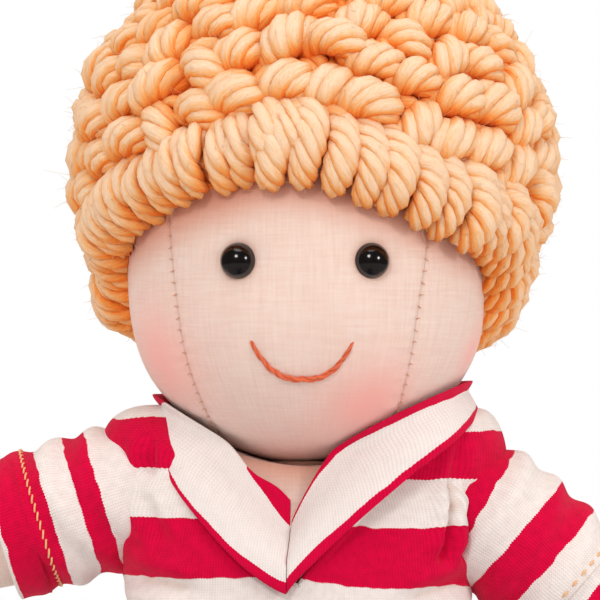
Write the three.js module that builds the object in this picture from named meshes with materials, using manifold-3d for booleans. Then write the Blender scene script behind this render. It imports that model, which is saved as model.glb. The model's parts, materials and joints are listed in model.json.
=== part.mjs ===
// A seated rag doll: a stuffed cotton body with a ball head, looped yarn hair and removable clothes.
// Millimetres, +Z up. The doll faces -Y and its own left hand is on +X.
// The origin is the middle of the flat seat of the trousers, on the surface that the doll sits on.
import * as THREE from "three";
import { mergeVertices } from "three/addons/utils/BufferGeometryUtils.js";
import Module from "manifold-3d";

const wasm = await Module();
wasm.setup();

const degrees = THREE.MathUtils.degToRad;
const lerp = THREE.MathUtils.lerp;
const smoothstep = THREE.MathUtils.smoothstep;

// Fits between pieces, and the thickness of each cloth
const SEWN_GAP = 0.3;
const RUNNING_GAP = 0.6;
const SOCKET_GAP = 0.35;
const SKIN_CLOTH = 0.8;
const KNIT_CLOTH = 1.2;
const DENIM_CLOTH = 1.2;
const COLLAR_CLOTH = 2.0;
const TROUSER_EASE = 0.4;
const WAISTBAND_CLOTH = 1.6;
const SLEEVE_EASE = 0.5;

// Head: a ball below, drawn up to a taller crown, turned a little to the doll's right
const HEAD_RADIUS = 40;
const CROWN_HEIGHT = 48;
const HEAD_SHIFT = 2;
const HEAD_TURN = degrees(-4);
const SEAM_REACH = 27.4;
const SEAM_LEAN = degrees(11);

// Face: eyes and mouth are sewn a little off the middle of the strip
const EYE_RADIUS = 4;
const EYE_SPACING = 29.6;
const EYE_HEIGHT = 3;
const EYE_SINK = 1;
const EYE_SHIFT = 2;
const SHANK_RADIUS = 1.2;
const SHANK_LENGTH = 9;
const MOUTH_WIDTH = 22.2;
const MOUTH_DROP = 15;
const MOUTH_DEPTH = 8.6;
const MOUTH_THREAD = 1.3;
const MOUTH_SHIFT = 1.4;
const MOUTH_POINTS = 13;

// Hair: rows of yarn loops between a hairline and the crown, filling a round wig
const HAIRLINE_FRONT = degrees(61);
const HAIRLINE_SIDE = degrees(107);
const HAIRLINE_BACK = degrees(115);
const HAIRLINE_DROP_FROM = degrees(25);
const HAIRLINE_DROP_TO = degrees(115);
const WIG_HALF_WIDTH = 55;
const WIG_HALF_DEPTH = 50;
const WIG_HALF_HEIGHT = 54;
const WIG_RISE = 24;
const WIG_SET_BACK = 4;
const HAIR_LEAST = 9;
const HAIR_ROWS = 4;
const LOOP_PITCH = 14;
const LEAST_LOOPS = 6;
const LOOP_DIP = 0.25;
const LOOP_FULLNESS = 0.7;
const ROW_GAP = 0.5;
const CROWN_SHARE = 0.28;
const CROWN_LOOPS = 8;
const CROWN_TIP_ANGLE = 0.02;

// The tuft's dome, as shares of the hair's thickness from its tip to its rim, and its underside on the head,
// as shares of its rim
const CROWN_DOME = [1, 0.97, 0.88, 0.6];
const CROWN_DOME_START = 0.4;
const CROWN_UNDERSIDE = [0.95, 0.6, 0.3, 0.05];
const CROWN_SEAT = 0.02;

// Neck: rounded at its foot, drawn in under the head and tucked up round the ball
const NECK_RADIUS = 9;
const NECK_HEIGHT = 10;
const NECK_FOOT_HEIGHT = 90;
const NECK_FOOT_ROUNDING = 1.5;
const NECK_FOOT_ROUNDING_HEIGHT = 2;
const NECK_PINCH = 1;
const NECK_TUCK = 6;

// Torso: half widths and half depths at its levels
const HIP_HALF_WIDTH = 35;
const HIP_HALF_DEPTH = 25;
const WAIST_HALF_WIDTH = 34;
const WAIST_HALF_DEPTH = 24.5;
const CHEST_HALF_WIDTH = 35.2;
const CHEST_HALF_DEPTH = 22;
const SHOULDER_HALF_WIDTH = 36.5;
const SHOULDER_HALF_DEPTH = 17;
const HIP_LEVEL = 22;
const WAIST_LEVEL = 52;
const CHEST_LEVEL = 76;
const SHOULDER_LEVEL = 92;
const TORSO_TOP = 103;
const SEAT_HALF_WIDTH = 26;
const SEAT_HALF_DEPTH = 19;
const SEAT_ROUNDING_HEIGHT = 3;
const SEAT_ROUNDING_WIDTH = 5.5;
const SEAT_ROUNDING_DEPTH = 3.5;
const BELLY_SWELL = 0.5;
const TORSO_SQUARENESS = 2.3;

// Shoulders: how far below the torso's top each ring lies, and how far it has drawn in
const SHOULDER_EDGE_DROP = 5;
const SHOULDER_EDGE_INSET = 3;
const SHOULDER_SLOPE_DROP = 1.5;
const SHOULDER_SLOPE_WIDTH_INSET = 7;
const SHOULDER_SLOPE_DEPTH_INSET = 6;
const SHOULDER_TOP_WIDTH_INSET = 13;
const SHOULDER_TOP_DEPTH_INSET = 9.5;

// Arms: both hang out to the side, the right one higher than the left, with its sleeve pushed up
const SHOULDER_REACH = 43;
const SHOULDER_HEIGHT = 90;
const LEFT_SHOULDER_SLUMP = 4.5;
const ARM_RADIUS = 14.3;
const ARM_TAPER = 0.6;
const ARM_LENGTH = 87;
const UPPER_ARM_LENGTH = 24;
const ELBOW_RADIUS = 10.6;
const ELBOW_FLATNESS = 0.97;
const HAND_LENGTH = 27;
const WRIST_RADIUS = 9.2;
const WRIST_FLATNESS = 0.88;
const HAND_RADIUS = 10.6;
const HAND_FLATNESS = 0.72;
const PALM_BACK_LENGTH = 3;
const PALM_FRONT_LENGTH = 5;
const FINGERTIP_LENGTH = 3;
const FINGERTIP_INSET = 3.5;
const FINGER_END_INSET = 6.6;
const THUMB_RADIUS = 4.2;
const THUMB_LENGTH = 15;
const THUMB_SET_BACK = 2;
const THUMB_LEAN = degrees(35);
const RIGHT_ARM_DROP = degrees(17);
const LEFT_ARM_DROP = degrees(41);
const LOWEST_ARM_DROP = degrees(50);
const HIGHEST_ARM_LIFT = degrees(40);
const RIGHT_SLEEVE_LENGTH = 24;
const LEFT_SLEEVE_LENGTH = 31;
const SLEEVE_HEM_RADIUS = 15.6;

// Legs: stretched forward along the floor
const HIP_REACH = 19;
const HIP_FORWARD = 13;
const LEG_RADIUS = 15.3;
const LEG_LENGTH = 116;
const THIGH_SHARE = 0.3;
const THIGH_TAPER = 0.4;
const CALF_SHARE = 0.65;
const CALF_TAPER = 1.6;
const ANKLE_RADIUS = 11;
const ANKLE_SWELL = 0.8;
const LEG_RAISE = degrees(15);
const TROUSER_LEG_LENGTH = 90;
const TROUSER_HEM_RADIUS = 16.3;
const CLOTH_TUBE_TAPER = 0.2;
const FLOOR_CUT = 0.5;

// Feet and shoes: the instep and the ball of the foot lie below the ankle
const FOOT_HEIGHT = 20;
const FOOT_HALF_WIDTH = 12;
const FOOT_SWELL = 0.6;
const INSTEP_DROP = 6;
const INSTEP_SHORTER = 6.5;
const INSTEP_FORWARD_SHARE = 0.35;
const FOOT_BALL_DROP = 12;
const FOOT_BALL_SHORTER = 1.2;
const FOOT_BALL_FORWARD_SHARE = 0.86;
const SHOE_HALF_LENGTH = 23.5;
const SHOE_WALL = 1.6;
const SHOE_COLLAR_HEIGHT = 11;
const SHOE_COLLAR_LIP = 0.1;
const SHOE_MOUTH_CUT = 3;
const SOLE_THICKNESS = 3.2;
const SOLE_EDGE_SHARE = 0.7;
const SOLE_ROUNDING = 1;

// Jersey and trousers
const JERSEY_HEM = 40;
const TROUSER_TOP = 48;
const WAISTBAND_HEIGHT = 6;
const COLLAR_FRONT_TOP = 85;
const COLLAR_FRONT_WIDTH = 15;
const COLLAR_SIDE_TOP = 115;
const COLLAR_SIDE_WIDTH = 10.5;
const COLLAR_BACK_TOP = 112;
const COLLAR_BACK_WIDTH = 10;
const COLLAR_SIDE_REACH = 31.3;
const COLLAR_SIDE_FLARE = 5;
const COLLAR_HEAD_GAP = 1;
const NECKLINE_CUT_DEPTH = 12;

// Facets
const HEAD_SIDES = 20;
const HEAD_RINGS = 10;
const TORSO_SIDES = 18;
const LIMB_SIDES = 10;
const TUBE_SIDES = 16;
const EYE_SIDES = 12;
const THREAD_STEPS = 12;
const THREAD_SEGMENTS = 3;
const ROOM_SIDES = 20;
const ROW_SIDES = 8;
const STEPS_PER_LOOP = 2;
const COLLAR_STEPS = 10;
const LIMB_END_ANGLES = [-75, -45, -20, 0];
const SLEEVE_HEAD_ANGLES = [-55, -36, -18, 0];
const TROUSER_HEAD_ANGLES = [-60, -40, -20, 0];

// Sizes that follow from those above
const HEAD_CENTRE = new THREE.Vector3(HEAD_SHIFT, 0, NECK_FOOT_HEIGHT + NECK_HEIGHT + HEAD_RADIUS);
const SKIN_INSIDE = SKIN_CLOTH + SEWN_GAP;
const WAISTBAND_OUT = TROUSER_EASE + WAISTBAND_CLOTH;
const JERSEY_IN = WAISTBAND_OUT + SEWN_GAP;
const JERSEY_OUT = JERSEY_IN + KNIT_CLOTH;
const TROUSER_OUT = TROUSER_EASE + DENIM_CLOTH;
const SLEEVE_RADIUS = ARM_RADIUS + SLEEVE_EASE + KNIT_CLOTH;
const WRIST_AT = ARM_LENGTH - HAND_LENGTH;
const TROUSER_LEG_RADIUS = LEG_RADIUS + TROUSER_EASE + DENIM_CLOTH;
const HIP_HEIGHT = TROUSER_LEG_RADIUS - FLOOR_CUT;
const HIP_CLEAR = TROUSER_LEG_RADIUS + RUNNING_GAP;
const SEAT_FRONT = HIP_CLEAR - HIP_FORWARD;
const BODY_Y = -(SEAT_FRONT + SEAT_HALF_DEPTH) / 2;
const ANKLE_AT = LEG_LENGTH - FOOT_HEIGHT;
const SHOE_TOP_AT = ANKLE_AT - SHOE_COLLAR_HEIGHT;
const SHOE_RISE = SHOE_HALF_LENGTH - HIP_HEIGHT;
const FOOT_IN = SHOE_WALL + SEWN_GAP;
const SHOE_FOOT_AT = LEG_LENGTH + SEWN_GAP + SHOE_WALL;

// Larger than the doll, for cuts that go right through
const EVERYTHING = 600;
const BEYOND = new THREE.Vector3(EVERYTHING, EVERYTHING, EVERYTHING);
const BEFORE = BEYOND.clone().negate();

const CLOTHS = {
  skin: { color: 0xf3cdb4, roughness: 0.9 },
  stuffing: { color: 0xf4f2ec, roughness: 1 },
  bead: { color: 0x0a0a0c, roughness: 0.12 },
  thread: { color: 0xe0522a, roughness: 0.7 },
  yarn: { color: 0xf7b673, roughness: 0.95 },
  stripes: { color: 0xd5123c, roughness: 0.9 },
  collar: { color: 0xf3e9df, roughness: 0.9 },
  denim: { color: 0x35507d, roughness: 0.9 },
  elastic: { color: 0x2b4064, roughness: 0.9 },
  felt: { color: 0x7a4a2c, roughness: 0.95 },
  sole: { color: 0xe9dcc3, roughness: 0.8 },
};

// Solids: closed geometry in, a solid that can be joined and cut out

function toSolid(geometry) {
  const bare = geometry.clone();
  bare.deleteAttribute("normal");
  bare.deleteAttribute("uv");
  const merged = mergeVertices(bare, 1e-4);
  const vertProperties = new Float32Array(merged.attributes.position.array);
  const triVerts = new Uint32Array(merged.index.array);
  const solid = new wasm.Manifold(new wasm.Mesh({ numProp: 3, vertProperties, triVerts }));
  if (solid.volume() > 0) return solid;
  for (let i = 0; i < triVerts.length; i += 3) {
    [triVerts[i], triVerts[i + 1]] = [triVerts[i + 1], triVerts[i]];
  }
  return new wasm.Manifold(new wasm.Mesh({ numProp: 3, vertProperties, triVerts }));
}

function toGeometry(solid) {
  const { vertProperties, triVerts, numProp } = solid.getMesh();
  const geometry = new THREE.BufferGeometry();
  const positions = new THREE.InterleavedBuffer(vertProperties, numProp);
  geometry.setAttribute("position", new THREE.InterleavedBufferAttribute(positions, 3, 0));
  geometry.setIndex(new THREE.BufferAttribute(triVerts, 1));
  const loose = geometry.toNonIndexed();
  loose.computeVertexNormals();
  return loose;
}

// A skin over rings of points, each ring as many points as the next, with a fan closing each end.
function loft(rings, closedLoop = false) {
  const sides = rings[0].length;
  const positions = rings.flat().flatMap((p) => [p.x, p.y, p.z]);
  const index = [];
  const bands = closedLoop ? rings.length : rings.length - 1;
  for (let i = 0; i < bands; i += 1) {
    for (let j = 0; j < sides; j += 1) {
      const next = (j + 1) % sides;
      const here = i * sides;
      const there = ((i + 1) % rings.length) * sides;
      index.push(here + j, here + next, there + next, here + j, there + next, there + j);
    }
  }
  const closeEnd = (ring, start, turn) => {
    const centre = ring.reduce((sum, p) => sum.add(p), new THREE.Vector3()).divideScalar(sides);
    const hub = positions.length / 3;
    positions.push(centre.x, centre.y, centre.z);
    for (let j = 0; j < sides; j += 1) {
      const a = start + j;
      const b = start + ((j + 1) % sides);
      index.push(hub, turn ? b : a, turn ? a : b);
    }
  };
  if (!closedLoop) {
    closeEnd(rings[0], 0, true);
    closeEnd(rings[rings.length - 1], (rings.length - 1) * sides, false);
  }
  const geometry = new THREE.BufferGeometry();
  geometry.setAttribute("position", new THREE.Float32BufferAttribute(positions, 3));
  geometry.setIndex(index);
  return toSolid(geometry);
}

function box(low, high) {
  const size = high.clone().sub(low);
  const middle = low.clone().add(high).divideScalar(2);
  return toSolid(new THREE.BoxGeometry(size.x, size.y, size.z).translate(middle.x, middle.y, middle.z));
}

function ball(radius, centre, sides) {
  const sphere = new THREE.SphereGeometry(radius, sides, sides / 2).rotateX(Math.PI / 2);
  return toSolid(sphere.translate(centre.x, centre.y, centre.z));
}

// A ball to cut with: its flat facets, not only its corners, lie outside the radius.
const roomBall = (radius, centre, sides) => ball(radius / Math.cos(Math.PI / sides) ** 2, centre, sides);

const frontHalf = (gap) => box(BEFORE, BEYOND.clone().setY(-gap / 2));
const backHalf = (gap) => box(BEFORE.clone().setY(gap / 2), BEYOND);
const between = (low, high) => box(BEFORE.clone().setZ(low), BEYOND.clone().setZ(high));

function piece(name, cloth, solid) {
  const material = new THREE.MeshStandardMaterial({ ...CLOTHS[cloth], metalness: 0, name: cloth });
  const mesh = new THREE.Mesh(toGeometry(solid), material);
  mesh.name = name;
  return mesh;
}

// Head, in a frame at the ball's centre with the face towards -Y

const headDirection = (polar, around) =>
  new THREE.Vector3(
    Math.sin(polar) * Math.sin(around),
    -Math.sin(polar) * Math.cos(around),
    Math.cos(polar),
  );

// Distance from the head's centre to its cloth along a direction: a ball below, a half ellipsoid above.
function headReach(direction) {
  const height = direction.z > 0 ? CROWN_HEIGHT : HEAD_RADIUS;
  const flat = Math.hypot(direction.x, direction.y) / HEAD_RADIUS;
  return 1 / Math.hypot(flat, direction.z / height);
}

function headBall(inset) {
  const sphere = new THREE.SphereGeometry(1, HEAD_SIDES, HEAD_RINGS).rotateX(Math.PI / 2);
  const spots = sphere.attributes.position;
  const spot = new THREE.Vector3();
  for (let i = 0; i < spots.count; i += 1) {
    spot.fromBufferAttribute(spots, i).normalize();
    spot.multiplyScalar(headReach(spot) - inset);
    spots.setXYZ(i, spot.x, spot.y, spot.z);
  }
  return toSolid(sphere);
}

// Everything beyond the seam of one cheek, which lies in a plane leaning in towards the chin.
function cheekSide(side, gap) {
  const slab = box(BEFORE.clone().setX(SEAM_REACH + gap), BEYOND);
  return slab.rotate([0, THREE.MathUtils.radToDeg(SEAM_LEAN), side > 0 ? 0 : 180]);
}

function eyeSpot(side) {
  const across = (side * EYE_SPACING) / 2 + EYE_SHIFT;
  const deep = Math.sqrt(HEAD_RADIUS ** 2 - across ** 2 - EYE_HEIGHT ** 2);
  return new THREE.Vector3(across, -deep, EYE_HEIGHT).setLength(HEAD_RADIUS - EYE_SINK);
}

// A glossy bead with the shank that the thread holds it by, inside the head.
function eyeBead(side, gap) {
  const spot = eyeSpot(side);
  const inward = spot.clone().normalize().negate();
  const radius = SHANK_RADIUS + gap;
  const length = SHANK_LENGTH + gap;
  const shank = new THREE.CylinderGeometry(radius, radius, length, EYE_SIDES / 2).translate(0, length / 2, 0);
  shank.applyQuaternion(new THREE.Quaternion().setFromUnitVectors(new THREE.Vector3(0, 1, 0), inward));
  shank.translate(spot.x, spot.y, spot.z);
  return ball(EYE_RADIUS + gap, spot, EYE_SIDES).add(toSolid(shank));
}

function mouthStitch() {
  const points = [];
  for (let i = 0; i < MOUTH_POINTS; i += 1) {
    const share = (2 * i) / (MOUTH_POINTS - 1) - 1;
    const across = (share * MOUTH_WIDTH) / 2 + MOUTH_SHIFT;
    const height = -MOUTH_DROP - MOUTH_DEPTH * (1 - share ** 2);
    const deep = Math.sqrt(HEAD_RADIUS ** 2 - across ** 2 - height ** 2);
    const spot = new THREE.Vector3(across, -deep, height);
    points.push(spot.setLength(HEAD_RADIUS + SEWN_GAP + MOUTH_THREAD / 2));
  }
  const section = new THREE.Shape().absarc(0, 0, MOUTH_THREAD / 2, 0, 2 * Math.PI);
  const extrudePath = new THREE.CatmullRomCurve3(points);
  const along = { steps: THREAD_STEPS, curveSegments: THREAD_SEGMENTS, extrudePath };
  return toSolid(new THREE.ExtrudeGeometry(section, along));
}

function makeHead() {
  const head = new THREE.Group();
  head.position.copy(HEAD_CENTRE);
  head.rotation.z = HEAD_TURN;
  const eyeHoles = eyeBead(1, SEWN_GAP).add(eyeBead(-1, SEWN_GAP));
  const skin = headBall(0).subtract(headBall(SKIN_CLOTH));
  const cheeks = cheekSide(1, -SEWN_GAP / 2).add(cheekSide(-1, -SEWN_GAP / 2));
  const strip = skin.subtract(cheeks);
  head.add(
    piece("head_stuffing", "stuffing", headBall(SKIN_INSIDE).subtract(eyeHoles)),
    piece("face_panel", "skin", strip.intersect(frontHalf(SEWN_GAP)).subtract(eyeHoles)),
    piece("back_head_panel", "skin", strip.intersect(backHalf(SEWN_GAP))),
    piece("left_cheek_panel", "skin", skin.intersect(cheekSide(1, SEWN_GAP / 2))),
    piece("right_cheek_panel", "skin", skin.intersect(cheekSide(-1, SEWN_GAP / 2))),
    piece("left_eye", "bead", eyeBead(1, 0)),
    piece("right_eye", "bead", eyeBead(-1, 0)),
    piece("mouth_thread", "thread", mouthStitch()),
  );
  addHair(head);
  return head;
}

// Hair rows, in the head's frame

// Polar angle of the hairline from the top of the head: high over the face, low at the nape.
function hairline(around) {
  const turn = Math.abs(around);
  const side = smoothstep(turn, HAIRLINE_DROP_FROM, HAIRLINE_DROP_TO);
  const back = smoothstep(turn, HAIRLINE_DROP_TO, Math.PI);
  return HAIRLINE_FRONT + (HAIRLINE_SIDE - HAIRLINE_FRONT) * side + (HAIRLINE_BACK - HAIRLINE_SIDE) * back;
}

// Thickness of the hair along a direction: out to the round wig, and never thinner than one loop.
function hairDepth(direction) {
  const scale = new THREE.Vector3(1 / WIG_HALF_WIDTH, 1 / WIG_HALF_DEPTH, 1 / WIG_HALF_HEIGHT);
  const from = new THREE.Vector3(0, -WIG_SET_BACK, -WIG_RISE).multiply(scale);
  const ray = direction.clone().multiply(scale);
  const a = ray.lengthSq();
  const b = from.dot(ray);
  const c = from.lengthSq() - 1;
  const reach = (-b + Math.sqrt(b * b - a * c)) / a;
  return Math.max(HAIR_LEAST, reach - headReach(direction) - SEWN_GAP);
}

function hairPoint(polar, around, share) {
  const direction = headDirection(polar, around);
  return direction.clone().multiplyScalar(headReach(direction) + SEWN_GAP + share * hairDepth(direction));
}

// Pushes a point of a circle's outline towards the square round it.
const fuller = (value) => Math.sign(value) * Math.abs(value) ** LOOP_FULLNESS;

// One row: a ring of bulging loops between two shares of the way from the crown to the hairline.
function hairRow(innerShare, outerShare) {
  const middle = (innerShare + outerShare) / 2;
  const length = 2 * Math.PI * HEAD_RADIUS * Math.sin(middle * HAIRLINE_SIDE);
  const loops = Math.max(LEAST_LOOPS, Math.round(length / LOOP_PITCH));
  const steps = loops * STEPS_PER_LOOP;
  const rings = [];
  for (let i = 0; i < steps; i += 1) {
    const around = (i / steps) * 2 * Math.PI - Math.PI;
    const bulge = 1 - (LOOP_DIP * (1 - Math.cos(loops * around))) / 2;
    const halfWidth = ((outerShare - innerShare) / 2) * hairline(around) - ROW_GAP / 2 / HEAD_RADIUS;
    const ring = [];
    for (let j = 0; j < ROW_SIDES; j += 1) {
      const angle = (2 * Math.PI * (j + 0.5)) / ROW_SIDES;
      const polar = middle * hairline(around) + halfWidth * fuller(Math.cos(angle));
      const up = fuller(Math.sin(angle));
      ring.push(hairPoint(polar, around, 0.5 + 0.5 * up * (up > 0 ? bulge : 1)));
    }
    rings.push(ring);
  }
  return loft(rings, true);
}

// The tuft on top: a dome over the middle of the crown.
function hairCrown(outerShare) {
  const steps = CROWN_LOOPS * STEPS_PER_LOOP;
  const turnOf = (i) => ((i + 0.5) / steps) * 2 * Math.PI - Math.PI;
  const ringAt = (share, height) =>
    Array.from({ length: steps }, (_, i) => {
      const polar = share * outerShare * hairline(turnOf(i)) - ROW_GAP / HEAD_RADIUS;
      return hairPoint(Math.max(polar, CROWN_TIP_ANGLE), turnOf(i), height);
    });
  const last = CROWN_DOME.length - 1 + CROWN_DOME_START;
  const dome = CROWN_DOME.map((height, k) => ringAt((k + CROWN_DOME_START) / last, height));
  return loft([...dome, ...CROWN_UNDERSIDE.map((share) => ringAt(share, CROWN_SEAT))]);
}

function addHair(head) {
  const share = (1 - CROWN_SHARE) / HAIR_ROWS;
  const names = ["hair_fringe_row", "hair_second_row", "hair_third_row", "hair_top_row"];
  for (let k = 0; k < HAIR_ROWS; k += 1) {
    const outer = 1 - k * share;
    head.add(piece(names[k] ?? `hair_row_${k + 1}`, "yarn", hairRow(outer - share, outer)));
  }
  head.add(piece("hair_crown", "yarn", hairCrown(CROWN_SHARE)));
}

// Neck: a short stuffed tube between the shoulders and the ball of the head.

function makeNeck() {
  const foot = NECK_FOOT_HEIGHT + SEWN_GAP;
  const chin = NECK_FOOT_HEIGHT + NECK_HEIGHT;
  const profile = [
    [0, foot],
    [NECK_RADIUS - NECK_FOOT_ROUNDING, foot],
    [NECK_RADIUS, foot + NECK_FOOT_ROUNDING_HEIGHT],
    [NECK_RADIUS - NECK_PINCH, chin],
    [NECK_RADIUS, chin + NECK_TUCK],
    [0, chin + NECK_TUCK],
  ].map(([x, y]) => new THREE.Vector2(x, y));
  const tube = toSolid(new THREE.LatheGeometry(profile, TORSO_SIDES).rotateX(Math.PI / 2));
  const placed = tube.translate([HEAD_CENTRE.x, HEAD_CENTRE.y, 0]);
  return piece("neck", "skin", placed.subtract(headClear(SEWN_GAP)));
}

const headClear = (gap) => roomBall(HEAD_RADIUS + gap, HEAD_CENTRE, HEAD_SIDES);

// Torso: rings round an upright axis. offset moves the cloth outwards, and up or down at its closed ends.

const shoulderRing = (drop, widthInset, depthInset) =>
  [TORSO_TOP - drop, SHOULDER_HALF_WIDTH - widthInset, SHOULDER_HALF_DEPTH - depthInset];

const SEAT_EDGE = [
  TROUSER_OUT + SEAT_ROUNDING_HEIGHT,
  SEAT_HALF_WIDTH + SEAT_ROUNDING_WIDTH,
  SEAT_HALF_DEPTH + SEAT_ROUNDING_DEPTH,
];
const TORSO_STATIONS = [
  [TROUSER_OUT, SEAT_HALF_WIDTH, SEAT_HALF_DEPTH],
  SEAT_EDGE,
  [HIP_LEVEL, HIP_HALF_WIDTH, HIP_HALF_DEPTH],
  [(HIP_LEVEL + WAIST_LEVEL) / 2, HIP_HALF_WIDTH, HIP_HALF_DEPTH + BELLY_SWELL],
  [WAIST_LEVEL, WAIST_HALF_WIDTH, WAIST_HALF_DEPTH],
  [CHEST_LEVEL, CHEST_HALF_WIDTH, CHEST_HALF_DEPTH],
  [SHOULDER_LEVEL, SHOULDER_HALF_WIDTH, SHOULDER_HALF_DEPTH],
  shoulderRing(SHOULDER_EDGE_DROP, SHOULDER_EDGE_INSET, SHOULDER_EDGE_INSET),
  shoulderRing(SHOULDER_SLOPE_DROP, SHOULDER_SLOPE_WIDTH_INSET, SHOULDER_SLOPE_DEPTH_INSET),
  shoulderRing(0, SHOULDER_TOP_WIDTH_INSET, SHOULDER_TOP_DEPTH_INSET),
];

// Half width and half depth of the torso at a height.
function torsoAt(height) {
  const upper = TORSO_STATIONS.findIndex(([z]) => z >= height);
  if (upper < 0) return TORSO_STATIONS.at(-1).slice(1);
  const [z1, w1, d1] = TORSO_STATIONS[upper];
  const [z0, w0, d0] = TORSO_STATIONS[Math.max(upper - 1, 0)];
  const share = z1 > z0 ? (height - z0) / (z1 - z0) : 0;
  return [lerp(w0, w1, share), lerp(d0, d1, share)];
}

// Distance from the upright axis to the torso at a height, in a direction counted from the front.
function torsoReach(height, around, offset) {
  const [width, depth] = torsoAt(height);
  const across = Math.abs(Math.sin(around)) / (width + offset);
  const deep = Math.abs(Math.cos(around)) / (depth + offset);
  return (across ** TORSO_SQUARENESS + deep ** TORSO_SQUARENESS) ** (-1 / TORSO_SQUARENESS);
}

function torsoRing(height, offset) {
  const nearTop = smoothstep(height, SHOULDER_LEVEL, TORSO_TOP);
  const nearBottom = 1 - smoothstep(height, TROUSER_OUT, TROUSER_OUT + SEAT_ROUNDING_HEIGHT);
  return Array.from({ length: TORSO_SIDES }, (_, j) => {
    const around = (2 * Math.PI * (j + 0.5)) / TORSO_SIDES;
    const reach = torsoReach(height, around, offset);
    const lift = offset * (nearTop - nearBottom);
    return new THREE.Vector3(reach * Math.sin(around), -reach * Math.cos(around), height + lift);
  });
}

const torsoBody = (offset) => loft(TORSO_STATIONS.map(([z]) => torsoRing(z, offset)));

const shoulderHeight = (side) => (side > 0 ? SHOULDER_HEIGHT - LEFT_SHOULDER_SLUMP : SHOULDER_HEIGHT);
const shoulderAt = (side) => new THREE.Vector3(side * SHOULDER_REACH, 0, shoulderHeight(side));
const hipAt = (side) => new THREE.Vector3(side * HIP_REACH, -HIP_FORWARD, HIP_HEIGHT);

// The space that a straight limb takes up along a direction from its joint.
function limbRoom(radius, joint, direction) {
  const wide = radius / Math.cos(Math.PI / ROOM_SIDES);
  const tube = new THREE.CylinderGeometry(wide, wide, EVERYTHING, ROOM_SIDES).translate(0, EVERYTHING / 2, 0);
  tube.applyQuaternion(new THREE.Quaternion().setFromUnitVectors(new THREE.Vector3(0, 1, 0), direction));
  return toSolid(tube.translate(joint.x, joint.y, joint.z));
}

// Round sockets for the heads of both sleeves, opened for the lowest and the highest arm.
function armRoom() {
  const rooms = [1, -1].flatMap((side) => {
    const socket = roomBall(SLEEVE_RADIUS + SOCKET_GAP, shoulderAt(side), ROOM_SIDES);
    const tubes = [-LOWEST_ARM_DROP, HIGHEST_ARM_LIFT].map((angle) => {
      const direction = new THREE.Vector3(side * Math.cos(angle), 0, Math.sin(angle));
      return limbRoom(SLEEVE_RADIUS + RUNNING_GAP, shoulderAt(side), direction);
    });
    return [socket, ...tubes];
  });
  return rooms.reduce((all, room) => all.add(room));
}

// Round sockets for the heads of both trouser legs, opened in front and below for the swing of the thighs.
function thighRoom() {
  const overThigh = HIP_HALF_DEPTH + TROUSER_OUT - HIP_FORWARD;
  const lifted = HIP_CLEAR * Math.cos(LEG_RAISE) + overThigh * Math.sin(LEG_RAISE);
  const top = HIP_HEIGHT + Math.max(HIP_CLEAR, lifted);
  const inFront = box(BEFORE, new THREE.Vector3(EVERYTHING, -HIP_FORWARD, top));
  const below = box(BEFORE, new THREE.Vector3(EVERYTHING, SEAT_FRONT, HIP_HEIGHT));
  const socketRadius = TROUSER_LEG_RADIUS + SOCKET_GAP;
  const sockets = [1, -1].map((side) => roomBall(socketRadius, hipAt(side), ROOM_SIDES));
  return [below, ...sockets].reduce((all, room) => all.add(room), inFront);
}

// Round recess on top of the shoulders for the foot of the neck, and the space under the head.
function neckRoom() {
  const radius = NECK_RADIUS + RUNNING_GAP;
  const tube = new THREE.CylinderGeometry(radius, radius, EVERYTHING, TORSO_SIDES).rotateX(Math.PI / 2);
  tube.translate(HEAD_CENTRE.x, HEAD_CENTRE.y, NECK_FOOT_HEIGHT + EVERYTHING / 2);
  return toSolid(tube).add(headClear(COLLAR_HEAD_GAP));
}

function makeTorso() {
  const rooms = armRoom().add(thighRoom()).add(neckRoom());
  const skin = torsoBody(0).subtract(torsoBody(-SKIN_CLOTH)).subtract(rooms);
  return [
    piece("torso_stuffing", "stuffing", torsoBody(-SKIN_INSIDE).subtract(rooms)),
    piece("torso_front", "skin", skin.intersect(frontHalf(SEWN_GAP))),
    piece("torso_back", "skin", skin.intersect(backHalf(SEWN_GAP))),
  ];
}

// Collar: a folded band in two halves that cross the chest to a point and close behind the neck.
// around runs from the front point, 0, over the shoulder to the middle of the back, a half turn.

function collarPoint(side, around, across, depth) {
  const sideways = Math.sin(around);
  const behind = around > Math.PI / 2;
  const top = lerp(behind ? COLLAR_BACK_TOP : COLLAR_FRONT_TOP, COLLAR_SIDE_TOP, sideways);
  const width = lerp(behind ? COLLAR_BACK_WIDTH : COLLAR_FRONT_WIDTH, COLLAR_SIDE_WIDTH, sideways);
  const height = top - across * width;
  const onBody = torsoReach(Math.min(height, TORSO_TOP - SHOULDER_SLOPE_DROP), around, JERSEY_OUT);
  const standing = torsoReach(SHOULDER_LEVEL, around, JERSEY_OUT);
  const sideReach = COLLAR_SIDE_REACH + side * HEAD_SHIFT + across * COLLAR_SIDE_FLARE;
  const reach = Math.max(onBody, lerp(standing, sideReach, sideways ** 2));
  const out = reach + SEWN_GAP + depth;
  const p = new THREE.Vector3(side * out * Math.sin(around), -out * Math.cos(around), height);
  const fromHead = p.clone().sub(HEAD_CENTRE);
  const clear = HEAD_RADIUS + COLLAR_HEAD_GAP + depth;
  return fromHead.length() < clear ? p.copy(HEAD_CENTRE).add(fromHead.setLength(clear)) : p;
}

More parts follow.
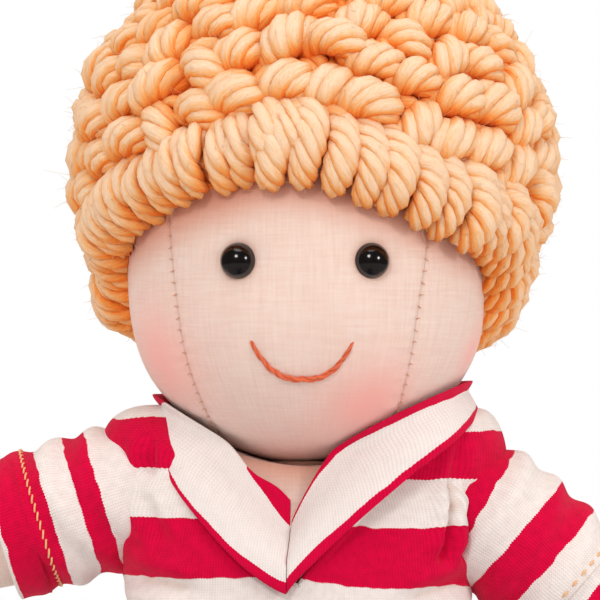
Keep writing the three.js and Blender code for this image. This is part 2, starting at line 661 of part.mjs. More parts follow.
function collarBand(side, grow) {
  const edge = grow / COLLAR_SIDE_WIDTH;
  const acrossBand = [-edge, 0.5, 1 + edge];
  const inside = acrossBand.map((across) => [across, -grow]);
  const outside = acrossBand.map((across) => [across, COLLAR_CLOTH + grow]);
  const section = [...inside, ...outside.reverse()];
  const seam = grow > 0 ? 0 : SEWN_GAP / COLLAR_SIDE_REACH;
  const rings = [];
  for (let i = 0; i <= COLLAR_STEPS; i += 1) {
    const around = lerp(seam, Math.PI - seam, i / COLLAR_STEPS);
    rings.push(section.map(([across, depth]) => collarPoint(side, around, across, depth)));
  }
  return loft(rings);
}

// Everything inside the neckline: above a cone that meets the jersey under the middle of the band.
function necklineRoom() {
  const ringAt = (reachMore, heightOf) =>
    Array.from({ length: 2 * COLLAR_STEPS }, (_, j) => {
      const turn = (2 * Math.PI * (j + 0.5)) / (2 * COLLAR_STEPS) - Math.PI;
      const p = collarPoint(Math.sign(turn), Math.abs(turn), 0.5, 0);
      const flat = Math.hypot(p.x, p.y);
      const stretched = (flat + reachMore) / flat;
      return new THREE.Vector3(p.x * stretched, p.y * stretched, heightOf(p));
    });
  const onBand = (p) => p.z;
  const aboveHead = () => EVERYTHING / 2;
  const bottom = ringAt(-NECKLINE_CUT_DEPTH, onBand);
  return loft([bottom, ringAt(COLLAR_CLOTH, onBand), ringAt(COLLAR_CLOTH, aboveHead)]);
}

function makeJersey() {
  const cloth = torsoBody(JERSEY_OUT).subtract(torsoBody(JERSEY_IN));
  const neckline = necklineRoom().add(collarBand(1, SEWN_GAP)).add(collarBand(-1, SEWN_GAP));
  const rooms = armRoom().add(neckRoom()).add(neckline);
  const jersey = cloth.intersect(between(JERSEY_HEM, EVERYTHING)).subtract(rooms);
  return [
    piece("jersey_front", "stripes", jersey.intersect(frontHalf(SEWN_GAP))),
    piece("jersey_back", "stripes", jersey.intersect(backHalf(SEWN_GAP))),
    piece("left_collar", "collar", collarBand(1, 0).subtract(armRoom())),
    piece("right_collar", "collar", collarBand(-1, 0).subtract(armRoom())),
  ];
}

// Trousers: the seat and its elastic waistband stay with the body, the legs go with the thighs.

function makeSeat() {
  const cloth = torsoBody(TROUSER_OUT).subtract(torsoBody(TROUSER_EASE));
  const band = torsoBody(WAISTBAND_OUT).subtract(torsoBody(TROUSER_EASE));
  const bandFoot = TROUSER_TOP + SEWN_GAP;
  const seat = cloth.intersect(between(-EVERYTHING, TROUSER_TOP)).subtract(thighRoom());
  return [
    piece("trouser_seat", "denim", seat),
    piece("waistband", "elastic", band.intersect(between(bandFoot, bandFoot + WAISTBAND_HEIGHT))),
  ];
}

// Limbs, in a frame at the joint. An arm runs along +X, a leg along -Y.

// Rounded end of a limb: places along it and radii, up to the joint itself.
const roundEnd = (radius, angles) =>
  angles.map((angle) => [radius * Math.sin(degrees(angle)), radius * Math.cos(degrees(angle))]);

// A sleeve or trouser leg: a round head over the joint, then a tube to its hem, turned about its length.
function clothTube(radius, angles, length, hemRadius, cloth) {
  const middle = [length / 2, radius - CLOTH_TUBE_TAPER];
  const outer = [...roundEnd(radius, angles), middle, [length, hemRadius]];
  const headInside = roundEnd(radius - cloth, angles);
  const tubeInside = outer.slice(angles.length).map(([at, wide]) => [at, wide - cloth]);
  const profile = [...outer, ...[...headInside, ...tubeInside].reverse(), outer[0]];
  return new THREE.LatheGeometry(profile.map(([at, wide]) => new THREE.Vector2(wide, at)), TUBE_SIDES);
}

function armBody(inset) {
  const palm = (WRIST_AT + ARM_LENGTH) / 2;
  const stations = [
    ...roundEnd(ARM_RADIUS, LIMB_END_ANGLES).map(([at, radius]) => [at, radius, 1]),
    [UPPER_ARM_LENGTH / 2, ARM_RADIUS - ARM_TAPER, 1],
    [UPPER_ARM_LENGTH, (ARM_RADIUS + ELBOW_RADIUS) / 2, 1],
    [(UPPER_ARM_LENGTH + WRIST_AT) / 2, ELBOW_RADIUS, ELBOW_FLATNESS],
    [WRIST_AT, WRIST_RADIUS, WRIST_FLATNESS],
    [palm - PALM_BACK_LENGTH, HAND_RADIUS, HAND_FLATNESS],
    [palm + PALM_FRONT_LENGTH, HAND_RADIUS, HAND_FLATNESS],
    [ARM_LENGTH - FINGERTIP_LENGTH, HAND_RADIUS - FINGERTIP_INSET, HAND_FLATNESS],
    [ARM_LENGTH, HAND_RADIUS - FINGER_END_INSET, HAND_FLATNESS],
  ];
  const rings = stations.map(([at, radius, flatness], k) => {
    const end = k === 0 ? inset : k === stations.length - 1 ? -inset : 0;
    return Array.from({ length: LIMB_SIDES }, (_, j) => {
      const angle = (2 * Math.PI * (j + 0.5)) / LIMB_SIDES;
      const deep = (radius * flatness - inset) * Math.cos(angle);
      return new THREE.Vector3(at + end, deep, (radius - inset) * Math.sin(angle));
    });
  });
  const thumb = new THREE.SphereGeometry(1, LIMB_SIDES / 2, LIMB_SIDES / 2);
  thumb.scale(THUMB_RADIUS - inset, THUMB_RADIUS - inset, THUMB_LENGTH / 2 - inset);
  thumb.rotateY(THUMB_LEAN).translate(palm - THUMB_SET_BACK, 0, HAND_RADIUS);
  return loft(rings).add(toSolid(thumb));
}

function sleeve(length) {
  const tube = clothTube(SLEEVE_RADIUS, SLEEVE_HEAD_ANGLES, length, SLEEVE_HEM_RADIUS, KNIT_CLOTH);
  return toSolid(tube.rotateZ(-Math.PI / 2));
}

function makeArm(side, name, drop, sleeveLength) {
  const arm = new THREE.Group();
  arm.position.copy(shoulderAt(side));
  arm.rotation.y = side * drop;
  const facing = (solid) => (side > 0 ? solid : solid.mirror([1, 0, 0]));
  const skin = armBody(0).subtract(armBody(SKIN_CLOTH));
  arm.add(
    piece(`${name}_arm_stuffing`, "stuffing", facing(armBody(SKIN_INSIDE))),
    piece(`${name}_arm_front`, "skin", facing(skin.intersect(frontHalf(SEWN_GAP)))),
    piece(`${name}_arm_back`, "skin", facing(skin.intersect(backHalf(SEWN_GAP)))),
    piece(`${name}_sleeve`, "stripes", facing(sleeve(sleeveLength))),
  );
  return arm;
}

// Rings of a leg along -Y: place along it, half width, half height and how far its middle rises off the axis.
function legRings(stations, inset) {
  return stations.map(([at, width, height, rise], k) => {
    const end = k === 0 ? inset : k === stations.length - 1 ? -inset : 0;
    return Array.from({ length: LIMB_SIDES }, (_, j) => {
      const angle = (2 * Math.PI * (j + 0.5)) / LIMB_SIDES;
      const up = rise + (height - inset) * Math.sin(angle);
      return new THREE.Vector3((width - inset) * Math.cos(angle), -(at + end), up);
    });
  });
}

const roundStation = (at, radius) => [at, radius, radius, 0];

// The foot inside the shoe, from the ankle to the flat of the sole, grown for the shoe round it.
function footStations(grow, end) {
  const width = FOOT_HALF_WIDTH + grow;
  const length = SHOE_HALF_LENGTH - FOOT_IN + grow;
  const ballAt = ANKLE_AT + FOOT_BALL_DROP;
  return [
    [ANKLE_AT + INSTEP_DROP, width, length - INSTEP_SHORTER, SHOE_RISE * INSTEP_FORWARD_SHARE],
    [ballAt, width + FOOT_SWELL, length - FOOT_BALL_SHORTER, SHOE_RISE * FOOT_BALL_FORWARD_SHARE],
    [end, width + FOOT_SWELL, length, SHOE_RISE],
  ];
}

function legBody(inset) {
  const stations = [
    ...roundEnd(LEG_RADIUS, LIMB_END_ANGLES).map(([at, radius]) => roundStation(at, radius)),
    roundStation(ANKLE_AT * THIGH_SHARE, LEG_RADIUS - THIGH_TAPER),
    roundStation(ANKLE_AT * CALF_SHARE, LEG_RADIUS - CALF_TAPER),
    roundStation(SHOE_TOP_AT, ANKLE_RADIUS + ANKLE_SWELL),
    roundStation(ANKLE_AT, ANKLE_RADIUS),
    ...footStations(0, LEG_LENGTH),
  ];
  return loft(legRings(stations, inset));
}

function shoeUpper() {
  const body = (grow, top, end) =>
    loft(legRings([
      roundStation(top, ANKLE_RADIUS + ANKLE_SWELL + grow),
      roundStation(SHOE_TOP_AT, ANKLE_RADIUS + ANKLE_SWELL + grow),
      roundStation(ANKLE_AT, ANKLE_RADIUS + grow),
      ...footStations(grow, end),
    ], 0));
  const outside = body(FOOT_IN, SHOE_TOP_AT - SHOE_COLLAR_LIP, SHOE_FOOT_AT);
  return outside.subtract(body(SEWN_GAP, SHOE_TOP_AT - SHOE_MOUTH_CUT, LEG_LENGTH + SEWN_GAP));
}

function shoeSole() {
  const start = SHOE_FOOT_AT + SEWN_GAP;
  const [, width, height, rise] = footStations(FOOT_IN, 0).at(-1);
  return loft(legRings([
    [start, width, height, rise],
    [start + SOLE_THICKNESS * SOLE_EDGE_SHARE, width, height, rise],
    [start + SOLE_THICKNESS, width - SOLE_ROUNDING, height - SOLE_ROUNDING, rise],
  ], 0));
}

function trouserLeg() {
  const hem = [TROUSER_LEG_LENGTH, TROUSER_HEM_RADIUS];
  const tube = clothTube(TROUSER_LEG_RADIUS, TROUSER_HEAD_ANGLES, ...hem, DENIM_CLOTH);
  return toSolid(tube.rotateX(Math.PI)).intersect(between(-HIP_HEIGHT, EVERYTHING));
}

function makeLeg(side, name) {
  const leg = new THREE.Group();
  leg.position.copy(hipAt(side));
  const skin = legBody(0).subtract(legBody(SKIN_CLOTH));
  const upperHalf = between(SEWN_GAP / 2, EVERYTHING);
  const lowerHalf = between(-EVERYTHING, -SEWN_GAP / 2);
  leg.add(
    piece(`${name}_leg_stuffing`, "stuffing", legBody(SKIN_INSIDE)),
    piece(`${name}_leg_front`, "skin", skin.intersect(upperHalf)),
    piece(`${name}_leg_back`, "skin", skin.intersect(lowerHalf)),
    piece(`${name}_trouser_leg`, "denim", trouserLeg()),
    piece(`${name}_shoe_upper`, "felt", shoeUpper()),
    piece(`${name}_shoe_sole`, "sole", shoeSole()),
  );
  return leg;
}

const doll = new THREE.Group();
doll.position.y = BODY_Y;
doll.add(
  makeHead(),
  makeNeck(),
  ...makeTorso(),
  ...makeJersey(),
  ...makeSeat(),
  makeArm(1, "left", LEFT_ARM_DROP, LEFT_SLEEVE_LENGTH),
  makeArm(-1, "right", RIGHT_ARM_DROP, RIGHT_SLEEVE_LENGTH),
  makeLeg(1, "left"),
  makeLeg(-1, "right"),
);
const ragDoll = new THREE.Group();
ragDoll.add(doll);

export default ragDoll;
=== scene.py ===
import json
import math

import bpy
import numpy as np
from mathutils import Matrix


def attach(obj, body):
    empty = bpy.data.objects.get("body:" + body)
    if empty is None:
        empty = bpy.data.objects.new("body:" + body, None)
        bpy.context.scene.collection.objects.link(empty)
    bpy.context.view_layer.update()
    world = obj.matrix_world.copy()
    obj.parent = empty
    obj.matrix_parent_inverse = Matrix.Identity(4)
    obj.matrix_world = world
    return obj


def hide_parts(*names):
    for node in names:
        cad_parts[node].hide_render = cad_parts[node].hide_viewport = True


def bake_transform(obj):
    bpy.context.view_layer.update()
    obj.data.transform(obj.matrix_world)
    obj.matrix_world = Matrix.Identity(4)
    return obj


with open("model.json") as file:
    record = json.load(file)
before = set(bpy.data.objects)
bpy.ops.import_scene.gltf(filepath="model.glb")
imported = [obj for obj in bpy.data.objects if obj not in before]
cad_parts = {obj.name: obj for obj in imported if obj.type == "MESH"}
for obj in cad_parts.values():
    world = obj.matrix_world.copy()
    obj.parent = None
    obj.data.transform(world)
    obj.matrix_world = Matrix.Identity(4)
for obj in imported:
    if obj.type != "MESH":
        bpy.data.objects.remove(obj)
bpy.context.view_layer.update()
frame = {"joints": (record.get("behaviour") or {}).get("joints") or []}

# Camera: level with the doll's face and square to its chest, far enough off for a long portrait lens.
# Its frame is as wide at the middle of the head as the photograph's; all sizes below are in millimetres.
MM = 0.001
PIXEL_WIDTH = 0.2222
FRAME_PIXELS = 600
FRAME_MIDDLE_X, FRAME_MIDDLE_Z = 0.4, 134.4
CAMERA_DISTANCE = 1800
joint_at = {joint["name"]: np.array(joint["pos_m"]) / MM for joint in frame["joints"]}
HEAD_CENTRE = joint_at["head_nod"]
lens = bpy.data.cameras.new("portrait_camera")
lens.lens = lens.sensor_width * CAMERA_DISTANCE / (FRAME_PIXELS * PIXEL_WIDTH)
camera = bpy.data.objects.new("portrait_camera", lens)
camera.location = np.array((FRAME_MIDDLE_X, HEAD_CENTRE[1] - CAMERA_DISTANCE, FRAME_MIDDLE_Z)) * MM
camera.rotation_euler = (math.pi / 2, 0, 0)
bpy.context.scene.collection.objects.link(camera)
bpy.context.scene.camera = camera

# Head: a stuffed ball of woven peach cotton, sewn from a face strip, a back strip and two round cheek panels.
# Each panel is a grid of directions from the head's centre, drawn in at the seams, the eyes and the mouth.
# The weave, its slubs and the blush on the cheeks are in the material, and so is a warm shade painted along the seams,
# round the eyes, under the chin and below the fringe.
SIDES = ((1, "left"), (-1, "right"))
HEAD_RADIUS = 40
CROWN_HEIGHT = 48
HEAD_TURN = math.radians(-4)
SEAM_REACH = 27.4
SEAM_LEAN = math.radians(11)
SEAM_BOW, SEAM_WAIST = 0.004, -8
SEAM_DEPTH, SEAM_WIDTH = 0.3, 0.8
PUCKER_DEPTH, PUCKER_WIDTH, PUCKER_PITCH = 0.16, 2.6, 3.1
EYE_RADIUS, EYE_SPACING, EYE_HEIGHT, EYE_SINK, EYE_SHIFT = 4, 29.6, 3, 1, 2
SOCKET_DEPTH, SOCKET_WIDTH = 1.3, 5.2
MOUTH_WIDTH, MOUTH_DROP, MOUTH_DEPTH, MOUTH_SHIFT = 22.2, 14.6, 8.3, 1.4
MOUTH_ROUND = 2.7
LIP_DEPTH, LIP_WIDTH = 0.45, 1.6
LUMP_HEIGHT, LUMP_LENGTH = 0.3, 26
JOWL_SWELL, JOWL_FROM, JOWL_TO = 1.6, 0, -24
HEAD_CLOTH = 0.8
STUFFED = 0.9
# Shares of painted shade: along the seams, round the eye sockets, under the chin and below the fringe.
SEAM_SHADE, SEAM_SHADE_WIDTH = 0.12, 0.35
SOCKET_SHADE, SOCKET_SHADE_WIDTH = 0.5, 4.6
CHIN_SHADE, CHIN_SHADE_FROM, CHIN_SHADE_TO = 0.6, -35.5, -41
FRINGE_SHADE, FRINGE_SHADE_FROM, FRINGE_SHADE_TO = 0.75, 0.36, 0.05
# Each place of the hairline: turn and angle down. Each spot of blush: across, up, width and strength; the last spot,
# under the chin, is a warm shade painted in the blush's pink.
HAIRLINE = np.radians((
    (-180, 110), (-98, 105), (-78, 79), (-41, 65), (-10, 55.5), (6, 55.5), (34, 65), (54, 73), (78, 78), (98, 105),
    (180, 110)))
HAIRLINE_BLUR = math.radians(7) * np.linspace(-1, 1, 5)
BLUSH_AND_SHADE_SPOTS = ((15.5, -28.5, 10.5, 1), (-31, -19, 12, 0.9), (37, -17, 6, 0.8), (0, -39, 15, 0.4))


def unit(arrows):
    """The same arrows, each made one long."""
    return arrows / np.linalg.norm(arrows, axis=-1, keepdims=True)


def smooth_step(low, high, value):
    """A share that rises from 0 at low to 1 at high, level at both ends."""
    share = np.clip((value - low) / (high - low), 0, 1)
    return share * share * (3 - 2 * share)


def between(start, full, ease, end, value):
    """A share that rises from start to full, stays one and falls again from ease to end."""
    return smooth_step(start, full, value) * smooth_step(end, ease, value)


def bell(gap, wide, power=2):
    """A bell curve of a distance: one at no distance, gone a little past its width."""
    return np.exp(-(gap / wide) ** power)


def averaged(at, stations, column, blurs):
    """A column of a table of stations at a place along it, averaged over a few places to both sides."""
    return np.mean([np.interp(at + blur, stations[:, 0], stations[:, column]) for blur in blurs], 0)


def lumps(points, length, seed):
    """Smooth random hills of about one high: eight sine waves of one length that run in random directions."""
    rng = np.random.default_rng(seed)
    ways = unit(rng.normal(size=(8, 3))) * 2 * math.pi / length
    return np.sin(points @ ways.T + rng.uniform(0, 2 * math.pi, 8)).sum(-1) / 3


def grid_faces(rows, columns, closed=False):
    """Quads of a grid of points counted row by row; closed joins the last column to the first."""
    i, j = np.meshgrid(np.arange(rows - 1), np.arange(columns if closed else columns - 1), indexing="ij")
    k = (j + 1) % columns
    below, above = i * columns, (i + 1) * columns
    return np.stack([below + j, below + k, above + k, above + j], -1).reshape(-1, 4)


def grid_places(u, v):
    """The places on the cloth of each quad's corners, from grids of u and v with a column more where it closes."""
    place = np.stack(np.broadcast_arrays(u, v), -1)
    corners = [place[..., :-1, :-1, :], place[..., :-1, 1:, :], place[..., 1:, 1:, :], place[..., 1:, :-1, :]]
    return np.stack(corners, -2).reshape(-1, 4, 2)


def make_piece(name, points, faces, material, places=None, marks=None, inside=None):
    """A smooth mesh at the origin from points in millimetres, whole arrays of faces and their places on the cloth.

    marks are numbers kept for each point; faces turn to look away from inside where that is given."""
    points = np.asarray(points, float)
    grid, points = points.shape[:-1], points.reshape(-1, 3)
    if inside is not None:
        first = faces[0]
        outward = np.cross(points[first[:, 1]] - points[first[:, 0]], points[first[:, 2]] - points[first[:, 1]])
        if (outward * (points[first[:, 0]] - inside)).sum() < 0:
            faces = [group[:, ::-1] for group in faces]
            places = places and [group[:, ::-1] for group in places]
    corners = np.concatenate([group.ravel() for group in faces])
    sizes = np.concatenate([np.full(len(group), group.shape[1]) for group in faces])
    mesh = bpy.data.meshes.new(name)
    mesh.vertices.add(len(points))
    mesh.vertices.foreach_set("co", (points * MM).astype(np.float32).ravel())
    mesh.loops.add(len(corners))
    mesh.loops.foreach_set("vertex_index", corners.astype(np.int32))
    mesh.polygons.add(len(sizes))
    mesh.polygons.foreach_set("loop_start", (np.cumsum(sizes) - sizes).astype(np.int32))
    if places:
        layer = mesh.uv_layers.new(name="cloth")
        layer.data.foreach_set("uv", np.concatenate([group.reshape(-1) for group in places]).astype(np.float32))
    for kept, values in (marks or {}).items():
        stored = mesh.attributes.new(kept, "FLOAT", "POINT")
        stored.data.foreach_set("value", np.broadcast_to(values, grid).astype(np.float32).ravel())
    mesh.update(calc_edges=True)
    mesh.shade_smooth()
    mesh.materials.append(material)
    piece = bpy.data.objects.new(name, mesh)
    bpy.context.scene.collection.objects.link(piece)
    return piece


def grid_piece(name, points, material, u, v, closed=False, capped=False, marks=None, inside=None):
    """A piece from one grid of points, closed round its rows and capped at its first or at both end rows if asked."""
    rows, columns = points.shape[:2]
    faces = [grid_faces(rows, columns, closed)]
    places = [grid_places(u, v)]
    if capped:
        ring = np.arange(columns)
        caps = np.stack([ring[::-1], ring + (rows - 1) * columns])[:1 if capped == "first" else 2]
        faces.append(caps)
        places.append(np.zeros((len(caps), columns, 2)))
    return make_piece(name, points, faces, material, places, marks, inside)


def thicken(piece, thickness):
    """Gives a sheet its thickness, inward from the surface that was drawn."""
    solidify = piece.modifiers.new("cloth", "SOLIDIFY")
    solidify.thickness = thickness * MM
    solidify.offset = -1


def settle(piece, body, slot, *nodes, fill=None):
    """Hangs a piece on the body that carries it and hides the solids it stands for; the material slot and how full it
    is stuffed are not used.
    """
    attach(piece, body)
    if nodes:
        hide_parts(*nodes)


def paint(code):
    """A colour of six hexadecimal digits as the linear numbers that a shader takes."""
    levels = np.array([int(code[i:i + 2], 16) for i in (0, 2, 4)]) / 255
    linear = np.where(levels <= 0.04045, levels / 12.92, ((levels + 0.055) / 1.055) ** 2.4)
    return (*linear.tolist(), 1.0)


def shader_node(tree, kind, inputs, **settings):
    """A shader node: settings are its own choices, inputs are numbers, colour codes or other nodes' outputs."""
    node = tree.nodes.new("ShaderNode" + kind)
    for key, value in settings.items():
        setattr(node, key, value)
    for socket, value in inputs.items():
        if isinstance(value, bpy.types.NodeSocket):
            tree.links.new(value, node.inputs[socket])
        else:
            node.inputs[socket].default_value = paint(value) if isinstance(value, str) else value
    return node


def calc(tree, operation, *values):
    """The result of a Math node."""
    return shader_node(tree, "Math", dict(enumerate(values)), operation=operation).outputs[0]


def weighed(tree, start, *parts):
    """A starting value with other values added to it, each times its weight."""
    for value, weight in parts:
        start = calc(tree, "MULTIPLY_ADD", value, weight, start)
    return start


def wave(tree, along, pitch):
    """A sine wave of one pitch along a value."""
    return calc(tree, "SINE", calc(tree, "MULTIPLY", along, 2 * math.pi / pitch))


def mixed(tree, share, first, second):
    """A colour that goes from the first to the second with the share."""
    return shader_node(tree, "Mix", {0: share, 6: first, 7: second}, data_type="RGBA").outputs[2]


def place_node(tree):
    """The place on the cloth, in millimetres along u and v."""
    return shader_node(tree, "UVMap", {}, uv_map="cloth").outputs[0]


def axes_of(tree, place):
    """The numbers of a place, u first and v second."""
    return shader_node(tree, "SeparateXYZ", {0: place}).outputs


def noise(tree, place, scale, detail=2.0):
    """A cloud of values from 0 to 1 about a half; a pair of scales makes it finer one way than the other."""
    if isinstance(scale, tuple):
        place = shader_node(tree, "VectorMath", {0: place, 1: (*scale, 1)}, operation="MULTIPLY").outputs[0]
        scale = 1.0
    return shader_node(tree, "TexNoise", {"Vector": place, "Scale": scale, "Detail": detail}).outputs[0]


def mark(tree, name):
    """A number kept at the points of the mesh."""
    return shader_node(tree, "Attribute", {}, attribute_name=name).outputs["Fac"]


def new_group(name, outputs):
    """An empty shader group that takes a place on the cloth and puts out the named values."""
    group = bpy.data.node_groups.new(name, "ShaderNodeTree")
    group.interface.new_socket("Place", in_out="INPUT", socket_type="NodeSocketVector")
    for output in outputs:
        group.interface.new_socket(output, in_out="OUTPUT", socket_type="NodeSocketFloat")
    place = group.nodes.new("NodeGroupInput").outputs["Place"]
    return group, place, group.nodes.new("NodeGroupOutput")


def use_group(tree, group, place):
    """The outputs of a group node fed with the place."""
    node = tree.nodes.new("ShaderNodeGroup")
    node.node_tree = group
    tree.links.new(place, node.inputs["Place"])
    return node.outputs


def new_material(name, **sockets):
    """A material of one Principled shader, with constants on its own sockets."""
    material = bpy.data.materials.new(name)
    material.use_nodes = True
    shader = material.node_tree.nodes["Principled BSDF"]
    for socket, value in sockets.items():
        shader.inputs[socket.replace("_", " ")].default_value = value
    return material, material.node_tree, shader


def finish_material(tree, shader, colour, height=None, strength=0.3, distance=0.1):
    """Joins the colour and the bumps to the shader; the distance is in millimetres."""
    tree.links.new(colour, shader.inputs["Base Color"])
    if height is not None:
        bump = shader_node(tree, "Bump", {"Strength": strength, "Distance": distance * MM, "Height": height})
        tree.links.new(bump.outputs[0], shader.inputs["Normal"])


THREAD_PITCH = 0.42
THREAD_WANDER = (0.6, 0.6, 0.6)
weave, weave_place, weave_out = new_group("cotton_weave", ("Height", "Slub"))
wander = shader_node(weave, "TexNoise", {"Vector": weave_place, "Scale": 0.3, "Detail": 2.0}).outputs[1]
wandered = shader_node(
    weave, "VectorMath", {0: wander, 1: THREAD_WANDER, 2: weave_place}, operation="MULTIPLY_ADD").outputs[0]
threads = axes_of(weave, wandered)
warp, weft = wave(weave, threads[0], THREAD_PITCH), wave(weave, threads[1], THREAD_PITCH)
slub_across = noise(weave, wandered, (0.12, 2.2), 3.0)
slub_along = noise(weave, wandered, (2.2, 0.12), 3.0)
slub = calc(weave, "MULTIPLY", calc(weave, "ADD", slub_across, slub_along), 0.5)
weave.links.new(slub, weave_out.inputs["Slub"])
crossing = calc(weave, "MULTIPLY", warp, weft)
weave.links.new(weighed(weave, crossing, (slub, 2.5)), weave_out.inputs["Height"])

skin, tree, shader = new_material(
    "peach_cotton", Roughness=0.85, Sheen_Weight=0.25, Sheen_Roughness=0.5, Specular_IOR_Level=0.2,
    Subsurface_Weight=0.12, Subsurface_Radius=(1.0, 0.45, 0.28), Subsurface_Scale=0.0015)
cloth = use_group(tree, weave, place_node(tree))
colour = mixed(tree, weighed(tree, -0.15, (cloth["Slub"], 1.3), (cloth["Height"], 0.14)), "D9B4A5", "E9D5CB")
# Blush on the cheeks; under the chin the same pink is painted on as a warm shade.
colour = mixed(tree, calc(tree, "MULTIPLY", mark(tree, "blush_and_chin_shade"), 0.85), colour, "F8A89F")
# Painted shade: the cotton is mixed towards a warm brown where its points are marked as shaded, on the head, the neck
# and the top of the body.
colour = mixed(tree, mark(tree, "painted_shade"), colour, "C9764F")
finish_material(tree, shader, colour, cloth["Height"], 0.35, 0.09)


def head_reach(direction):
    """How far the plain head reaches: a ball, with a taller half ellipsoid above its middle."""
    tall = np.where(direction[..., 2] > 0, CROWN_HEIGHT, HEAD_RADIUS)
    return 1 / np.hypot(np.hypot(direction[..., 0], direction[..., 1]) / HEAD_RADIUS, direction[..., 2] / tall)


def jowl(height):
    """How much fuller than a ball the head is at a height: its lower half is stuffed out."""
    return JOWL_SWELL * smooth_step(JOWL_FROM, JOWL_TO, height)


def face_point(across, height):
    """The point of the head's front at a place across and up from its middle, before anything draws it in."""
    reach = HEAD_RADIUS + jowl(height)
    return np.stack([across, -np.sqrt(reach ** 2 - across ** 2 - height ** 2), height + 0 * across], -1)


def mouth_point(share):
    """The smile from corner to corner as the share goes from -1 to 1: a rounded hollow laid on the face."""
    sag = MOUTH_DEPTH * (1 - np.abs(share) ** MOUTH_ROUND)
    return face_point(share * MOUTH_WIDTH / 2 + MOUTH_SHIFT, -MOUTH_DROP - sag)


def eye_spot(side):
    """The middle of a bead, sunk a little into the face."""
    across = np.array(side * EYE_SPACING / 2 + EYE_SHIFT)
    return unit(face_point(across, np.array(EYE_HEIGHT))) * (HEAD_RADIUS - EYE_SINK)


def seam_axes(side):
    """The arrow square to a cheek's seam plane, and two arrows in that plane, to the front and up."""
    lean, plumb = math.sin(SEAM_LEAN), math.cos(SEAM_LEAN)
    return np.array((side * plumb, 0, -lean)), np.array((0, -1, 0)), np.array((side * lean, 0, plumb))


def seam_gap(points, side):
    """How far points lie outside a cheek's seam: past its plane, which is bowed in above and below the cheek."""
    return points @ seam_axes(side)[0] - SEAM_REACH + SEAM_BOW * (points[..., 2] - SEAM_WAIST) ** 2


def cheek_direction(side, tilt, around):
    """The direction that leans by tilt from the cheek's own axis, turned round that axis from the front."""
    axis, front, up = seam_axes(side)
    tilt, around = (angle[..., None] for angle in np.broadcast_arrays(tilt, around))
    return np.cos(tilt) * axis + np.sin(tilt) * (np.cos(around) * front + np.sin(around) * up)


def seam_tilt(side, around):
    """The tilt at which the plain head meets the seam, found by halving."""
    low, high = np.zeros_like(around), np.full_like(around, math.pi / 2)
    for _ in range(40):
        middle = (low + high) / 2
        way = cheek_direction(side, middle, around)
        outside = seam_gap(way * head_reach(way)[..., None], side) > 0
        low, high = np.where(outside, middle, low), np.where(outside, high, middle)
    return low


def hairline(around):
    """How far down the hair starts at a turn round the head: high over the face, low at the sides and back."""
    return averaged((around + math.pi) % (2 * math.pi) - math.pi, HAIRLINE, 1, HAIRLINE_BLUR)


def head_cloth(direction):
    """Points of the stuffed cloth, with the share of painted shade at each: the plain head is drawn in by bell curves
    of the distance to the seams, the eyes and the smile, and raised by soft lumps of stuffing; warm shade is painted
    along the seams, round the eye sockets, under the chin and on the forehead below the fringe."""
    reach = head_reach(direction)
    bare = direction * reach[..., None]
    drawn = -LUMP_HEIGHT * lumps(bare, LUMP_LENGTH, 3) - jowl(bare[..., 2])
    painted_shade = np.zeros_like(reach)
    for side in (-1, 1):
        gap = seam_gap(bare, side)
        pucker = np.cos(2 * math.pi * bare[..., 2] / PUCKER_PITCH) * np.sign(gap)
        drawn = drawn + SEAM_DEPTH * bell(gap, SEAM_WIDTH)
        drawn = drawn + PUCKER_DEPTH * pucker * bell(gap, PUCKER_WIDTH) * np.abs(np.tanh(gap))
        painted_shade = painted_shade + SEAM_SHADE * bell(gap, SEAM_SHADE_WIDTH)
        gap = np.linalg.norm(bare - eye_spot(side), axis=-1)
        drawn = drawn + SOCKET_DEPTH * bell(gap, SOCKET_WIDTH)
        painted_shade = painted_shade + SOCKET_SHADE * bell(gap, SOCKET_SHADE_WIDTH, 6)
    smile = mouth_point(np.linspace(-1, 1, 41))
    gap = np.sqrt(((bare[..., None, :] - smile) ** 2).sum(-1).min(-1))
    drawn = drawn + LIP_DEPTH * bell(gap, LIP_WIDTH)
    # Painted shade under the chin and on the forehead below the fringe, where shadow falls.
    painted_shade = painted_shade + CHIN_SHADE * smooth_step(CHIN_SHADE_FROM, CHIN_SHADE_TO, bare[..., 2])
    polar = np.arccos(np.clip(direction[..., 2], -1, 1))
    below = polar - hairline(np.arctan2(direction[..., 0], -direction[..., 1]))
    painted_shade = painted_shade + FRINGE_SHADE * smooth_step(FRINGE_SHADE_FROM, FRINGE_SHADE_TO, below)
    return direction * (reach - drawn)[..., None], np.clip(painted_shade, 0, 1)


def on_head(points):
    """Points about the head's centre, turned with the head and put in their place."""
    turn, stay = math.sin(HEAD_TURN), math.cos(HEAD_TURN)
    return points @ np.array(((stay, turn, 0), (-turn, stay, 0), (0, 0, 1))) + HEAD_CENTRE


def blush_and_chin_shade(points):
    """How strong the pink is: bell curves round blush spots of the cheeks, and round a spot under the chin where a
    warm shade is painted.
    """
    spots = [strong * bell(np.linalg.norm(points - face_point(np.array(x), np.array(z)), axis=-1), wide)
             for x, z, wide, strong in BLUSH_AND_SHADE_SPOTS]
    return np.clip(sum(spots), 0, 1)


